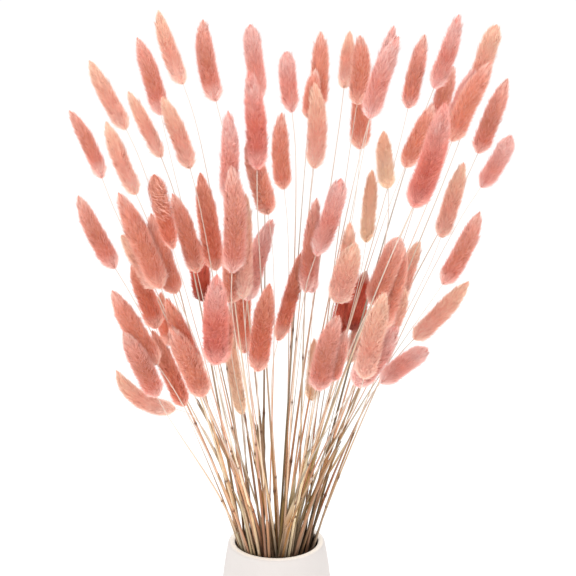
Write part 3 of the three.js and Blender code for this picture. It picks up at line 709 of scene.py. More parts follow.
def fur(coat, head, dye):
    """A head's core and hairs. Hairs grow in tufts set on a golden spiral and lie along the surface
    towards the tip, and their ends gather towards the middle of their tuft. Down lies under them, and
    spikes stand out of them. A head that is shaggy or bristly has awns of its own."""
    head.fade = chance.uniform(*FADE_RANGE)
    head.girth = head.radius * FUR_GIRTH
    core(coat, head, dye)
    table = np.linspace(0, 1, AREA_STEPS)
    filled = np.cumsum(head.fullness(table))
    filled /= filled[-1]
    area = 2 * np.pi * head.girth * head.long * head.fullness(table).mean()
    tufts = int(area * TUFTS_PER_MM2)
    tuft_share = np.interp((np.arange(tufts) + 0.5) / tufts, filled, table) * TUFT_ROOTS
    tuft_turn = np.arange(tufts) * GOLDEN * 2 * np.pi
    tuft_tone = (1 - OWN_TONE) * chance.random() + OWN_TONE * chance.random(tufts)
    tuft_lean = chance.uniform(-TILT, TILT, tufts)
    tuft_stand = chance.uniform(0, 1, tufts) ** 2 * TUFT_STAND
    swirl = chance.normal(0, SWIRL)
    spacing = TUFT_SPREAD / math.sqrt(TUFTS_PER_MM2)
    shaggy = head.mark in SHAGGY_HEADS
    brush = FULL_BRUSH_SHARE if shaggy or head.blunt else BRUSH_SHARE
    for density, long, wide, level, pale in (HAIRS, SHAGGY_AWNS if shaggy else AWNS):
        count = int(area * density)
        own = chance.integers(0, tufts, count)
        root = np.clip(tuft_share[own] + chance.normal(0, spacing / head.long, count), *HAIR_ROOTS)
        girth = head.girth * np.maximum(head.fullness(root), LEAST_GIRTH)
        spread = chance.normal(0, spacing, count) / girth
        reach = chance.uniform(*long, count) / head.long * (1 - TIP_SHORTER * root)
        gathered = tuft_share[own] + (root - tuft_share[own]) * GATHER
        tip = np.minimum(gathered + reach, 1 + chance.uniform(*PAST_TIP, count))
        turn = tuft_turn[own] + spread
        end = tuft_turn[own] + spread * GATHER + swirl + chance.normal(0, END_TURN, count)
        inner = core_radius(head, root) * IN_CORE
        height = chance.uniform(*level, count) + (tuft_tone[own] - MIDDLE_TONE) * TUFT_LIFT
        outer = head.girth * np.maximum(head.fullness(tip), brush) * height + tuft_stand[own]
        width = chance.uniform(*wide, count)
        tone, lean = tuft_tone[own], tuft_lean[own]
        hairs(coat, head, dye, (root, turn, inner), (tip, end, outer), width, tone, lean, pale)
    down(coat, head, dye, int(area * DOWN_PER_MM2), filled, table)
    bristly = head.mark == BRISTLY_HEAD
    density = SHAGGY_SPIKES_PER_MM2 if shaggy else SPIKES_PER_MM2
    if bristly:
        density = BRISTLY_SPIKES_PER_MM2
    spikes(coat, head, dye, int(area * density), filled, table)
    fringe(coat, head, dye)
    if bristly:
        bristles(coat, head, dye)


def turns(count, scatter):
    """Turns of roots all round a head, and those of their tips, scattered about them."""
    turn = chance.uniform(0, 2 * np.pi, count)
    return turn, turn + chance.normal(0, scatter, count)


def down(coat, head, dye, count, filled, table):
    """Short hairs under the tufts, spread evenly over the head."""
    root = np.interp(chance.random(count), filled, table) * DOWN_ROOTS
    tip = np.minimum(root + chance.uniform(*DOWN_LONG, count) / head.long, 1.0)
    turn, end = turns(count, DOWN_TURN)
    inner = core_radius(head, root) * DOWN_CORE
    outer = head.girth * head.fullness(tip) * chance.uniform(*DOWN_LEVEL, count)
    width = chance.uniform(*DOWN_WIDE, count)
    tone = chance.random(count)
    lean = chance.uniform(-TILT, TILT, count)
    hairs(coat, head, dye, (root, turn, inner), (tip, end, outer), width, tone, lean, DOWN_PALE)


def spikes(coat, head, dye, count, filled, table):
    """Fine hairs on edge that stand out of the coat all round, many short ones and few long, painted pale:
    partly their own paler ends, partly painted glow of light through them.
    """
    root = np.interp(chance.random(count), filled, table) * SPIKE_ROOTS
    tip = root + chance.uniform(*SPIKE_LONG, count) / head.long
    turn, end = turns(count, SPIKE_TURN)
    inner = head.girth * head.fullness(root) * SPIKE_ROOT_LEVEL
    level = head.girth * head.fullness(np.minimum(tip, 1)) * SPIKE_LEVEL
    least, most = SPIKE_OUT
    stand = least + (most - least) * chance.random(count) ** SPIKE_RARITY
    outer = level + stand * (1 - SPIKE_TIP_SHORTER * root)
    width = chance.uniform(*SPIKE_WIDE, count)
    hairs(coat, head, dye, (root, turn, inner), (tip, end, outer), width, SPIKE_TONE, None, SPIKE_PALE)


def fringe(coat, head, dye):
    """Short hairs round a head's base, painted pale as a painted light halo: they stand out from the
    rounded end and bend upwards.
    """
    root = chance.uniform(0, 1, FRINGE_HAIRS) ** FRINGE_CROWDING * FRINGE_RANGE
    tip = root + chance.uniform(*FRINGE_RISE, FRINGE_HAIRS)
    turn, end = turns(FRINGE_HAIRS, FRINGE_TURN)
    inner = core_radius(head, root) * FRINGE_CORE
    outer = inner + chance.uniform(*FRINGE_OUT, FRINGE_HAIRS)
    width = chance.uniform(*FRINGE_WIDE, FRINGE_HAIRS)
    hairs(coat, head, dye, (root, turn, inner), (tip, end, outer), width, FRINGE_TONE, None, FRINGE_PALE)


def bristles(coat, head, dye):
    """Stiff pale awns of a ragged head: they cross aslant over its upper part and stand out of it."""
    root = chance.uniform(*BRISTLE_RANGE, BRISTLES)
    tip = root + chance.uniform(*BRISTLE_LONG, BRISTLES) / head.long
    turn = chance.uniform(0, 2 * np.pi, BRISTLES)
    end = turn + chance.uniform(*BRISTLE_TURN, BRISTLES)
    inner = head.girth * head.fullness(root) + BRISTLE_ROOT_OUT
    level = head.girth * np.maximum(head.fullness(tip), BRUSH_SHARE)
    outer = level + chance.uniform(*BRISTLE_OUT, BRISTLES)
    width = chance.uniform(*BRISTLE_WIDE, BRISTLES)
    lean = np.zeros(BRISTLES)
    hairs(coat, head, dye, (root, turn, inner), (tip, end, outer), width, BRISTLE_TONE, lean, BRISTLE_PALE)


def smooth_course(foot, course):
    """A stem's fine centre line: a straight run from the foot to the mouth, then a Catmull-Rom curve
    through the stations. Its shares are -1 to 0 below the mouth and 0 to 1 above it."""
    mouth = course[0]
    before = mouth - unit(mouth - foot) * np.linalg.norm(course[1] - mouth)
    beyond = course[-1] * 2 - course[-2]
    knots = np.concatenate([[before], course, [beyond]])
    u = np.linspace(0, 1, SPAN_STEPS, endpoint=False)[:, None]
    spans = []
    for p, q, r, s in zip(knots, knots[1:], knots[2:], knots[3:]):
        bend = 2 * p - 5 * q + 4 * r - s
        curl = -p + 3 * q - 3 * r + s
        spans.append((2 * q + (r - p) * u + bend * u**2 + curl * u**3) / 2)
    low = np.linspace(foot, mouth, LOW_STEPS, endpoint=False)
    low_shares = np.linspace(-1, 0, LOW_STEPS, endpoint=False)
    upper = np.concatenate([*spans, course[-1:]])
    shares = np.interp(np.arange(len(upper)) / SPAN_STEPS, np.arange(len(course)), STEM_STATIONS)
    return np.concatenate([low_shares, shares]), np.concatenate([low, upper])


def course_at(places, shares, points):
    """The points of a course at other places along it, each coordinate drawn straight between shares."""
    return np.stack([np.interp(places, shares, points[:, k]) for k in range(3)], -1)


def behind_mouth(shares, points):
    """How far back a stem passes the mouth: 0 at its front and 1 at its back."""
    return np.clip(np.interp(0, shares, points[:, 1]) / MOUTH_RADIUS / 2 + 0.5, 0, 1)


def straw_tube(coat, shares, points, radii, sides, lot, scar, lean=None):
    """A closed tube: rings of the radii about the points, square to the line, with a pole at each end.
    A lean moves a ring's vertices along the line."""
    along = unit(np.gradient(points, axis=0))
    turn = all_round(sides)
    rings, _ = rings_about(points, along, radii, turn)
    if lean is not None:
        rings = rings + along[:, None] * lean[..., None]
    length = np.concatenate([[0], np.cumsum(np.linalg.norm(np.diff(points, axis=0), axis=1))])
    grain_x = (radii[:, None] * np.cos(turn)).ravel()
    grain_y = (radii[:, None] * np.sin(turn)).ravel()
    coat.add(
        np.concatenate([points[:1], rings.reshape(-1, 3), points[-1:]]),
        wrap_corners(len(points), sides),
        rise=painted(shares, sides),
        lot=lot,
        rear=behind_mouth(shares, points),
        scar=painted(scar, sides),
        grain_x=np.concatenate([[0], grain_x, [0]]) + lot * LOT_APART,
        grain_y=np.concatenate([[0], grain_y, [0]]),
        grain_z=painted(length, sides) / GRAIN_LONG,
    )


def culm(coat, shares, points, lot, stout, knot):
    """The bare stem: its radius falls from foot to head, with a swollen, bell-shaped knot in one place."""
    fine = np.sort(np.concatenate([shares, knot + KNOT_STEPS]))
    swell = np.exp(-(((fine - knot) / KNOT_SHARE) ** 2))
    radii = np.interp(fine, CULM_SHARES, CULM_RADII) * stout * (1 + KNOT_SWELL * swell)
    line = course_at(fine, shares, points)
    straw_tube(coat, fine, line, radii, CULM_SIDES, lot, swell * KNOT_SCAR)


def sheath(coat, shares, points, lot, end, stout, torn_side):
    """The leaf sheath round the lower stem: a thin tube, a little flared, whose upper edge is torn
    aslant, and which closes on the stem inside. Flare, tear and brown edge are powers of the way up."""
    low = np.linspace(SHEATH_LOW, end, SHEATH_RINGS)
    fine = np.concatenate([low, end - SHEATH_TURNS_IN])
    up = np.clip((fine - SHEATH_LOW) / (end - SHEATH_LOW), 0, 1)
    radii = stout * (1 - SHEATH_TAPER * up + SHEATH_FLARE * up**FLARE_POWER)
    radii[-2:] = [radii[SHEATH_RINGS - 1] - SHEATH_THICK, SHEATH_CLOSES]
    tear = SHEATH_TEAR * (0.5 + 0.5 * np.cos(all_round(SHEATH_SIDES) - torn_side)) ** 2
    lean = up[:, None] ** TEAR_POWER * tear
    scar = up**SCAR_POWER * SHEATH_SCAR
    straw_tube(coat, fine, course_at(fine, shares, points), radii, SHEATH_SIDES, lot, scar, lean)


def blade(coat, shares, points, lot, end):
    """A dried leaf blade: a channel that widens fast and narrows to its tip, folded along its middle,
    leaning out of the spray and turning over a little. Its two faces join at the edges."""
    root = course_at(end, shares, points)
    along = unit(course_at(end + BLADE_AIM, shares, points) - root)
    away = unit(np.array([root[0], root[1], 0.0]))
    rise = unit(along + away * BLADE_LEAN)
    across = unit(np.cross(rise, away))
    flat = np.cross(across, rise)
    v = np.linspace(0, 1, BLADE_ROWS)[:, None]
    u = np.linspace(-1, 1, BLADE_COLUMNS)[None]
    half = BLADE_WIDE / 2 * np.interp(v, BLADE_SHARES, BLADE_WIDTHS)
    turn = v * BLADE_TURN
    side = half * u
    lift = half * BLADE_FOLD * np.abs(u) ** FOLD_POWER + v**2 * BLADE_DROOP
    length = v * BLADE_LONG - BLADE_ROOT
    middle = root + rise * length[..., None]
    sideways = side * np.cos(turn) - lift * np.sin(turn)
    outwards = side * np.sin(turn) + lift * np.cos(turn)
    sheet = middle + across * sideways[..., None] + flat * outwards[..., None]
    wall = flat * BLADE_THICK / 2
    edge = (1 - np.abs(u) ** LATE_POWER)[..., None]
    front = sheet + wall * edge
    back = sheet - wall * edge
    loop = np.concatenate([front, back[:, -2:0:-1]], axis=1)
    sides = loop.shape[1]
    tip = sheet[-1, BLADE_COLUMNS // 2][None]
    grain = np.concatenate([side, side[:, -2:0:-1]], axis=1).ravel()
    rise_paint = painted(v.ravel(), sides)
    coat.add(
        np.concatenate([middle[0, :1], loop.reshape(-1, 3), tip]),
        wrap_corners(BLADE_ROWS, sides),
        rise=rise_paint,
        lot=lot,
        rear=behind_mouth(shares, points),
        scar=rise_paint**LATE_POWER * BLADE_SCAR,
        grain_x=np.concatenate([[0], grain, [0]]) + lot * LOT_APART,
        grain_y=0,
        grain_z=rise_paint * BLADE_LONG / GRAIN_LONG,
    )


def bezier(a, b, c, d, steps):
    """A cubic curve's points from a to d, pulled by b and c."""
    t = np.linspace(0, 1, steps + 1)[:, None]
    ends = (1 - t) ** 3 * np.array(a) + t**3 * np.array(d)
    return ends + 3 * t * (1 - t) * ((1 - t) * np.array(b) + t * np.array(c))


def vase(coat):
    """The vase turned about its axis: flat foot, rounded heel, belly, shoulder, a flat lip with a wide
    and a small rounded edge, then the inner wall down to the floor."""
    outer_height = VASE_HEIGHT - OUTER_ROUND
    inner_height = VASE_HEIGHT - INNER_ROUND
    low = VASE_HEIGHT * LOW_PULL
    high = VASE_HEIGHT * HIGH_PULL
    inner_pull = BELLY_PULL - WALL_THICK
    inner_foot = FOOT_RADIUS - WALL_THICK
    outside = bezier(
        (FOOT_RADIUS, 0), (BELLY_PULL, low), (BELLY_PULL, high), (LIP_RADIUS, outer_height),
        OUTSIDE_STEPS,
    )
    inside = bezier(
        (MOUTH_RADIUS, inner_height), (inner_pull, high), (inner_pull, low), (inner_foot, FLOOR_THICK),
        INSIDE_STEPS,
    )
    outside = outside[outside[:, 1] > HEEL_ROUND]
    heel_turn = np.linspace(-np.pi / 2, 0, HEEL_STEPS, endpoint=False)
    heel_across = outside[0, 0] - HEEL_ROUND + HEEL_ROUND * np.cos(heel_turn)
    heel = np.stack([heel_across, HEEL_ROUND * (1 + np.sin(heel_turn))], 1)
    quarter = np.linspace(0, np.pi / 2, LIP_STEPS)[:, None]
    outer_edge = [LIP_RADIUS - OUTER_ROUND, outer_height]
    outer_edge = outer_edge + OUTER_ROUND * np.concatenate([np.cos(quarter), np.sin(quarter)], 1)
    inner_edge = [MOUTH_RADIUS + INNER_ROUND, inner_height]
    inner_edge = inner_edge + INNER_ROUND * np.concatenate([-np.sin(quarter), np.cos(quarter)], 1)
    profile = np.concatenate([heel, outside, outer_edge[1:], inner_edge[:-1], inside])
    across, up = profile.T
    side = all_round(VASE_SIDES)
    x = across[:, None] * np.cos(side)
    y = across[:, None] * np.sin(side)
    z = np.broadcast_to(up[:, None], x.shape)
    rings = np.stack([x, y, z], -1).reshape(-1, 3)
    inner_wall = np.arange(len(profile)) >= len(profile) - len(inside)
    # Painted shade: the inner wall is painted darker below the lip, where shade falls inside the vase
    below_lip = np.clip((inner_height - up) / INNER_SHADE_FADE, 0, 1)
    # Painted light: the lip's flat top is painted paler towards the mouth, where light falls on it
    near_mouth = np.clip((LIP_RADIUS - LIP_LIGHT_INSET - across) / LIP_LIGHT_FADE, 0, 1)
    coat.add(
        np.concatenate([[[0, 0, 0]], rings, [[0, 0, FLOOR_THICK]]]),
        wrap_corners(len(profile), VASE_SIDES),
        deep=painted(np.where(inner_wall, below_lip, 0), VASE_SIDES),
        lip=painted(np.where(up > outer_height, near_mouth, 0), VASE_SIDES),
    )


def colour(code):
    """An sRGB hex colour as linear red, green, blue and alpha."""
    channels = [int(code[k:k + 2], 16) / 255 for k in (1, 3, 5)]
    linear = [c / 12.92 if c <= 0.04045 else ((c + 0.055) / 1.055) ** 2.4 for c in channels]
    return (*linear, 1.0)


def fill(tree, node, inputs):
    """Fills a node's inputs with values or links."""
    for key, value in inputs.items():
        if isinstance(value, bpy.types.NodeSocket):
            tree.links.new(value, node.inputs[key])
        else:
            node.inputs[key].default_value = value


def add(tree, kind, inputs, stops=(), **settings):
    """Adds a node with its settings, fills its inputs, and sets a ramp's stops."""
    made = tree.nodes.new(kind)
    for key, value in settings.items():
        setattr(made, key, value)
    fill(tree, made, inputs)
    for place, (share, code) in enumerate(stops):
        elements = made.color_ramp.elements
        element = elements[place] if place < 2 else elements.new(share)
        element.position = share
        element.color = colour(code)
    return made


def shaded(name):
    """A new material, its node tree and its shader."""
    material = bpy.data.materials.new(name)
    material.use_nodes = True
    return material, material.node_tree, material.node_tree.nodes["Principled BSDF"]


# A colour Mix node's inputs and output
MIX_A = 6
MIX_B = 7
MIX_OUT = 2

# What a paint or pattern drives: its name, its least and most, and the value that each of them gives
FUR_PAINTS = ("along", "reach", "tuft", "strand")
FUR_SPANS = {
    # painted shade: the root colour darkens hairs where they leave the core
    "out_of_core": ("reach", 0.0, 0.5, 0.25, 1.0),
    # partly the hair's own pale end, partly painted glow of light through the fine ends
    "paled": ("reach", 0.4, 0.95, 0.0, 1.0),
    "tuft_light": ("tuft", 0.0, 1.0, 0.92, 1.08),
    "strand_light": ("strand", 0.0, 1.0, 0.92, 1.08),
    # painted light: the base lighter and less saturated, against the shade there
    "base_painted_light": ("along", 0.0, 0.2, 1.18, 1.0),
    "base_painted_paleness": ("along", 0.0, 0.22, 0.78, 1.0),
    "strand_hue": ("strand", 0.0, 1.0, 0.492, 0.508),
    "dull": ("strand", 0.0, 1.0, 0.72, 0.92),
}
STRAW_SPANS = {
    "fibre_light": ("fibre", 0.3, 0.7, 0.72, 1.2),
    "rich": ("stain", 0.3, 0.7, 0.8, 1.2),
    # painted shade: straw darker in and just above the vase's mouth
    "mouth_painted_shade": ("rise", -0.04, 0.18, 0.34, 1.0),
    # painted shade: straws at the back of the bundle darker
    "rear_painted_shade": ("rear", 0.15, 0.85, 1.2, 0.6),
    "paled": ("rise", 0.25, 0.8, 0.0, 0.9),
    "dull": ("fibre", 0.3, 0.7, 0.5, 0.75),
}

# Patterns: how many there are to a millimetre, the depth of their relief in millimetres, the range
# that a noise mostly stays in, and the clay's least and most roughness
FIBRES_PER_MM = 3.2
STAINS_PER_MM = 0.35
CLOUDS_PER_MM = 0.025
GRAINS_PER_MM = 1.8
RELIEF_DEEP = 0.1
NOISE_RANGE = (0.3, 0.7)
CLAY_DULL = (0.5, 0.68)

# Where a dye's colours lie from a head's base to its tip, and the stems' colours among the lots
DYE_SHARES = (0.0, 0.19, 0.45, 0.8, 1.0)
LOT_SHARES = (0.0, 0.2, 0.4, 0.6, 0.8, 1.0)


def dyed_fur(name, root, ends, pale):
    """Dyed grass fur: hairs saturated and dark where they leave the core, which is painted shade between
    the hairs, fading to a pale end, which is partly the hair's own paler end and partly painted glow of
    light through it, with a soft sheen. The dye also changes from the head's base to its tip, and from tuft
    to tuft; the base is painted lighter and less saturated, painted light against the shade there."""
    material, tree, shader = shaded(name)
    values = {}
    for paint in FUR_PAINTS:
        values[paint] = add(tree, "ShaderNodeAttribute", {}, attribute_name=paint).outputs["Fac"]
    for driven, (source, *span) in FUR_SPANS.items():
        inputs = {0: values[source], **dict(enumerate(span, 1))}
        values[driven] = add(tree, "ShaderNodeMapRange", inputs).outputs[0]
    body = add(tree, "ShaderNodeValToRGB", {0: values["along"]}, stops=zip(DYE_SHARES, ends))
    # Painted shade: hairs mixed from the dark root colour to the dye as they leave the core
    lit = add(
        tree, "ShaderNodeMix",
        {0: values["out_of_core"], MIX_A: colour(root), MIX_B: body.outputs[0]},
        data_type="RGBA",
    )
    ended = add(
        tree, "ShaderNodeMix",
        {0: values["paled"], MIX_A: lit.outputs[MIX_OUT], MIX_B: colour(pale)},
        data_type="RGBA",
    )
    fine_light = add(
        tree, "ShaderNodeMath", {0: values["tuft_light"], 1: values["strand_light"]}, operation="MULTIPLY"
    )
    light = add(
        tree, "ShaderNodeMath", {0: fine_light.outputs[0], 1: values["base_painted_light"]}, operation="MULTIPLY"
    )
    varied = add(
        tree, "ShaderNodeHueSaturation",
        {"Color": ended.outputs[MIX_OUT], "Value": light.outputs[0], "Hue": values["strand_hue"],
         "Saturation": values["base_painted_paleness"]},
    )
    fill(tree, shader, {
        "Base Color": varied.outputs[0], "Roughness": values["dull"], "IOR": 1.45,
        "Specular IOR Level": 0.25, "Sheen Weight": 0.8, "Sheen Roughness": 0.3,
        "Sheen Tint": colour(pale),
    })
    return material


def dried_grass(name, lots, scar_colour, top_colour):
    """Dried grass straw: each stem has its own colour, fine fibres run along it, and torn edges and knots
    are brown. It is painted darker in the vase's mouth and at the back of the bundle, painted shade where
    the stems stand in shadow, and bleached towards the head."""
    material, tree, shader = shaded(name)
    values = {}
    for paint in STRAW_PAINTS:
        values[paint] = add(tree, "ShaderNodeAttribute", {}, attribute_name=paint).outputs["Fac"]
    place = add(
        tree, "ShaderNodeCombineXYZ", {0: values["grain_x"], 1: values["grain_y"], 2: values["grain_z"]}
    ).outputs[0]
    for pattern, scale, detail in (("fibre", FIBRES_PER_MM, 3.0), ("stain", STAINS_PER_MM, 2.0)):
        inputs = {"Vector": place, "Scale": scale, "Detail": detail}
        values[pattern] = add(tree, "ShaderNodeTexNoise", inputs).outputs[0]
    for driven, (source, *span) in STRAW_SPANS.items():
        inputs = {0: values[source], **dict(enumerate(span, 1))}
        values[driven] = add(tree, "ShaderNodeMapRange", inputs).outputs[0]
    stem = add(tree, "ShaderNodeValToRGB", {0: values["lot"]}, stops=zip(LOT_SHARES, lots))
    # Painted shade: the fibres' own light and dark, times the painted shade in the mouth and at the back
    fibre_and_mouth_shade = add(
        tree, "ShaderNodeMath", {0: values["fibre_light"], 1: values["mouth_painted_shade"]}, operation="MULTIPLY"
    )
    light = add(
        tree, "ShaderNodeMath", {0: fibre_and_mouth_shade.outputs[0], 1: values["rear_painted_shade"]}, operation="MULTIPLY"
    )
    grained = add(
        tree, "ShaderNodeHueSaturation",
        {"Color": stem.outputs[0], "Value": light.outputs[0], "Saturation": values["rich"]},
    )
    paled = add(
        tree, "ShaderNodeMix",
        {0: values["paled"], MIX_A: grained.outputs[0], MIX_B: colour(top_colour)},
        data_type="RGBA",
    )
    marked = add(
        tree, "ShaderNodeMix",
        {0: values["scar"], MIX_A: paled.outputs[MIX_OUT], MIX_B: colour(scar_colour)},
        data_type="RGBA",
    )
    relief = add(
        tree, "ShaderNodeBump", {"Height": values["fibre"], "Strength": 0.5, "Distance": RELIEF_DEEP * MM}
    )
    fill(tree, shader, {
        "Base Color": marked.outputs[MIX_OUT], "Roughness": values["dull"], "Normal": relief.outputs[0],
        "IOR": 1.5, "Specular IOR Level": 0.4,
    })
    return material


def bisque_porcelain(name):
    """Matte bisque porcelain: warm white, with a soft cloudiness and a fine dry grain. The lip's flat top
    is painted paler, a painted highlight, and the inner wall is painted dark brown below it, painted shade
    inside the vase."""
    material, tree, shader = shaded(name)
    low, high = NOISE_RANGE
    place = add(tree, "ShaderNodeTexCoord", {}).outputs["Object"]
    cloud = add(tree, "ShaderNodeTexNoise", {"Vector": place, "Scale": CLOUDS_PER_MM / MM, "Detail": 3.0})
    grain = add(tree, "ShaderNodeTexNoise", {"Vector": place, "Scale": GRAINS_PER_MM / MM, "Detail": 2.0})
    deep = add(tree, "ShaderNodeAttribute", {}, attribute_name="deep").outputs["Fac"]
    lip = add(tree, "ShaderNodeAttribute", {}, attribute_name="lip").outputs["Fac"]
    clay = add(
        tree, "ShaderNodeValToRGB", {0: cloud.outputs[0]}, stops=((low, "#d0cac7"), (high, "#d6d0cc"))
    )
    # Painted light: the lip's top is mixed towards a pale cream
    lit_lip = add(
        tree, "ShaderNodeMix",
        {0: lip, MIX_A: clay.outputs[0], MIX_B: colour("#fff8ed")},
        data_type="RGBA",
    )
    # Painted shade: the inner wall is mixed towards a dark brown
    shaded_inside = add(
        tree, "ShaderNodeMix",
        {0: deep, MIX_A: lit_lip.outputs[MIX_OUT], MIX_B: colour("#33271c")},
        data_type="RGBA",
    )
    clay_span = dict(enumerate((grain.outputs[0], low, high, *CLAY_DULL)))
    dull = add(tree, "ShaderNodeMapRange", clay_span)
    relief = add(
        tree, "ShaderNodeBump",
        {"Height": grain.outputs[0], "Strength": 0.35, "Distance": RELIEF_DEEP * MM},
    )
    fill(tree, shader, {
        "Base Color": shaded_inside.outputs[MIX_OUT], "Roughness": dull.outputs[0],
        "Normal": relief.outputs[0], "IOR": 1.5,
    })
    return material


def make_piece(name, coat, materials, node):
    """One mesh from a coat's triangles, in metres. It rides on the part and stands for the solid."""
    mesh = bpy.data.meshes.new(name)
    places = np.concatenate(coat.places) * MM
    corners = np.concatenate(coat.corners)
    mesh.vertices.add(len(places))
    mesh.vertices.foreach_set("co", places.ravel())
    mesh.loops.add(corners.size)
    mesh.loops.foreach_set("vertex_index", corners.ravel())
    mesh.polygons.add(len(corners))
    mesh.polygons.foreach_set("loop_start", np.arange(0, corners.size, 3))
    mesh.polygons.foreach_set("material_index", np.concatenate(coat.wears))
    for paint, values in coat.values.items():
        attribute = mesh.attributes.new(paint, "FLOAT", "POINT")
        attribute.data.foreach_set("value", np.concatenate(values).astype(np.float32))
    for material in materials:
        mesh.materials.append(material)
    mesh.update(calc_edges=True)
    mesh.shade_smooth()
    if coat.facing:
        mesh.normals_split_custom_set_from_vertices(np.concatenate(coat.facing))
    piece = bpy.data.objects.new(name, mesh)
    bpy.context.scene.collection.objects.link(piece)
    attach(piece, "root")
    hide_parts(node)


# The dyes: the hair's root, dark as painted shade between the hairs; the colours at the dye shares, whose
# pale colours at base and tip are partly a painted light halo; and the hair's pale end, partly its own
# paler tip and partly painted glow of light through it
FURS = {
    "peach": dyed_fur(
        "peach dyed fur", "#f4a189", ("#fff6ea", "#ffcfc0", "#ffbaa5", "#ffd4bb", "#ffe8d0"), "#ffdfcf"
    ),
    "rose": dyed_fur(
        "dusty rose dyed fur", "#d77b62", ("#fff4ee", "#f69b85", "#ed9a7e", "#ffbfac", "#ffe5d9"), "#ffd5cb"
    ),
    "pink": dyed_fur(
        "pink dyed fur", "#e98778", ("#fffaf6", "#ffc2b4", "#fbab98", "#ffd8cf", "#ffdcd3"), "#ffd6cf"
    ),
    "blush": dyed_fur(
        "deep pink dyed fur", "#dd6e5d", ("#ffdacd", "#ea8574", "#f6907a", "#ffd6cd", "#ffd2c8"), "#ffc0b4"
    ),
    "red": dyed_fur(
        "deep red dyed fur", "#9c4028", ("#8a2a14", "#d8553c", "#ff8a74", "#d84a34", "#fff2e6"), "#d0745e"
    ),
    "brick": dyed_fur(
        "brick red dyed fur", "#cb6548", ("#fff0e2", "#fa9475", "#f28867", "#f4a98d", "#ffc3ae"), "#ffcbba"
    ),
    "salmon": dyed_fur(
        "salmon dyed fur", "#e07e60", ("#fbdfcb", "#faa287", "#f8a182", "#ffb59e", "#ffe6dc"), "#ffd6c7"
    ),
    "tan": dyed_fur(
        "tan dyed fur", "#f7c6a4", ("#ffe2c4", "#ffdfc4", "#ffd6be", "#f8bda0", "#fbc6ac"), "#ffe7d0"
    ),
}
FUR_SLOTS = {dye: f"plume_{dye}" for dye in FURS}
FUR_SLOTS["blush"] = "plume_pink"
FUR_SLOTS["red"] = "plume_deep_red"

for clump in clumps:
    mark = f"{clump[0].mark:02d}"
    dyes = []
    coat = Coat(FUR_PAINTS)
    for head in clump:
        if head.dye not in dyes:
            dyes.append(head.dye)
        fur(coat, head, dyes.index(head.dye))
    node = f"seed_head_{mark}" if len(clump) == 1 else f"seed_heads_{mark}"
    piece = f"plume_{mark}" if len(clump) == 1 else f"plumes_{mark}"
    make_piece(piece, coat, [FURS[dye] for dye in dyes], node)

culms = Coat(STRAW_PAINTS)
sheaths = Coat(STRAW_PAINTS)
blades = Coat(STRAW_PAINTS)
for head, foot, course in zip(HEADS, stem_feet, stem_courses):
    shares, points = smooth_course(foot, course)
    stout = chance.uniform(*CULM_STOUT)
    culm(culms, shares, points, chance.random(), stout, chance.uniform(*KNOT_RANGE))
    long = max(0, (head.mark * GOLDEN) % 1 - BARE_SHARE) / (1 - BARE_SHARE)
    end = np.interp(VASE_HEIGHT + SHEATH_MOST * long, points[:, 2], shares)
    stout = chance.uniform(*SHEATH_STOUT)
    sheath(sheaths, shares, points, chance.random(), end, stout, chance.uniform(0, 2 * math.pi))
    if head.mark % BLADE_EVERY == 0:
        blade(blades, shares, points, chance.random(), STEM_STATIONS[BLADE_STATION])

# The straws: the colours of the lots, the brown of scars and edges, and the bleached top
STRAW = dried_grass(
    "dried grass culm", ("#ecd4b0", "#dc9f78", "#8a7449", "#c4805e", "#eccfae", "#6a5636"),
    "#5e3722", "#e8ddd0",
)
SHEATH = dried_grass(
    "dried leaf sheath", ("#f0dcb4", "#b78a64", "#75633c", "#e2b78d", "#a06d52", "#decaa0"),
    "#45301f", "#cbb594",
)
make_piece("culms", culms, [STRAW], "stems")
make_piece("leaf_sheaths", sheaths, [SHEATH], "stems")
make_piece("leaf_blades", blades, [SHEATH], "stems")

pot = Coat(("deep", "lip"))
vase(pot)
make_piece("ceramic_vase", pot, [bisque_porcelain("matte bisque porcelain")], "vase")

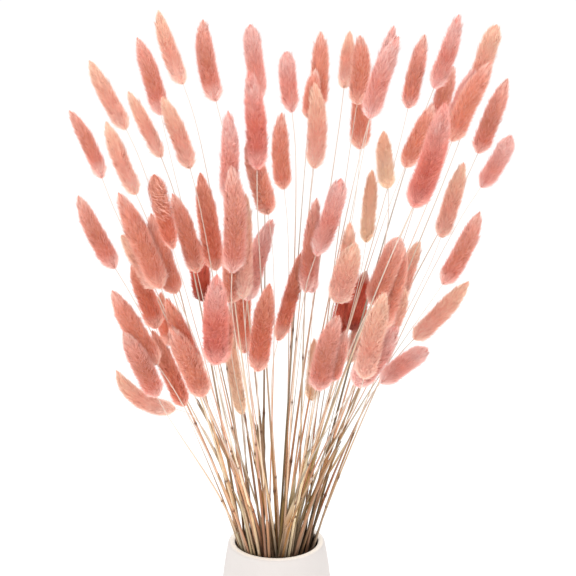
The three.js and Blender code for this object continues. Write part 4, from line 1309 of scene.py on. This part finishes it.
# The studio, in metres: the floor's half side, the even light, and each lamp's place, size and power
FLOOR_SIDE = 4.0
FLOOR_ROUGH = 0.9
STUDIO_LIGHT = 1.04
LAMPS = {
    "front lamp": ((-0.7, -1.4, 1.4), 1.2, 9.0),
    "top lamp": ((0.6, -0.3, 1.9), 1.6, 8.0),
}
LAMP_AIM = (0, 0, 0.3)
SENSOR_WIDE = 36.0


def stage_and_light():
    """A plain pale floor, even studio light from all round, and two large soft lamps."""
    mesh = bpy.data.meshes.new("floor")
    places = [(x * FLOOR_SIDE, y * FLOOR_SIDE, 0) for x, y in ((-1, -1), (1, -1), (1, 1), (-1, 1))]
    mesh.from_pydata(places, [], [(0, 1, 2, 3)])
    floor = bpy.data.objects.new("floor", mesh)
    paper, tree, shader = shaded("white paper")
    fill(tree, shader, {"Base Color": colour("#ffffff"), "Roughness": FLOOR_ROUGH})
    mesh.materials.append(paper)
    bpy.context.scene.collection.objects.link(floor)
    world = bpy.data.worlds.new("studio")
    world.use_nodes = True
    sky = world.node_tree.nodes["Background"]
    fill(world.node_tree, sky, {"Color": colour("#ffffff"), "Strength": STUDIO_LIGHT})
    bpy.context.scene.world = world
    for name, (place, size, power) in LAMPS.items():
        light = bpy.data.lights.new(name, "AREA")
        light.size = size
        light.energy = power
        lamp = bpy.data.objects.new(name, light)
        lamp.location = place
        aim = Vector(LAMP_AIM) - lamp.location
        lamp.rotation_euler = aim.to_track_quat("-Z", "Y").to_euler()
        bpy.context.scene.collection.objects.link(lamp)


def place_camera():
    """The camera stands at the eye and looks down by the pitch, with the picture's focus."""
    lens = bpy.data.cameras.new("camera")
    lens.sensor_width = SENSOR_WIDE
    lens.lens = SENSOR_WIDE * PICTURE_FOCUS / PICTURE_SIDE
    camera = bpy.data.objects.new("camera", lens)
    camera.location = EYE * MM
    camera.rotation_euler = (math.pi / 2 - EYE_PITCH, 0, 0)
    bpy.context.scene.collection.objects.link(camera)
    bpy.context.scene.camera = camera


stage_and_light()
place_camera()
bpy.context.scene.view_settings.view_transform = "Standard"
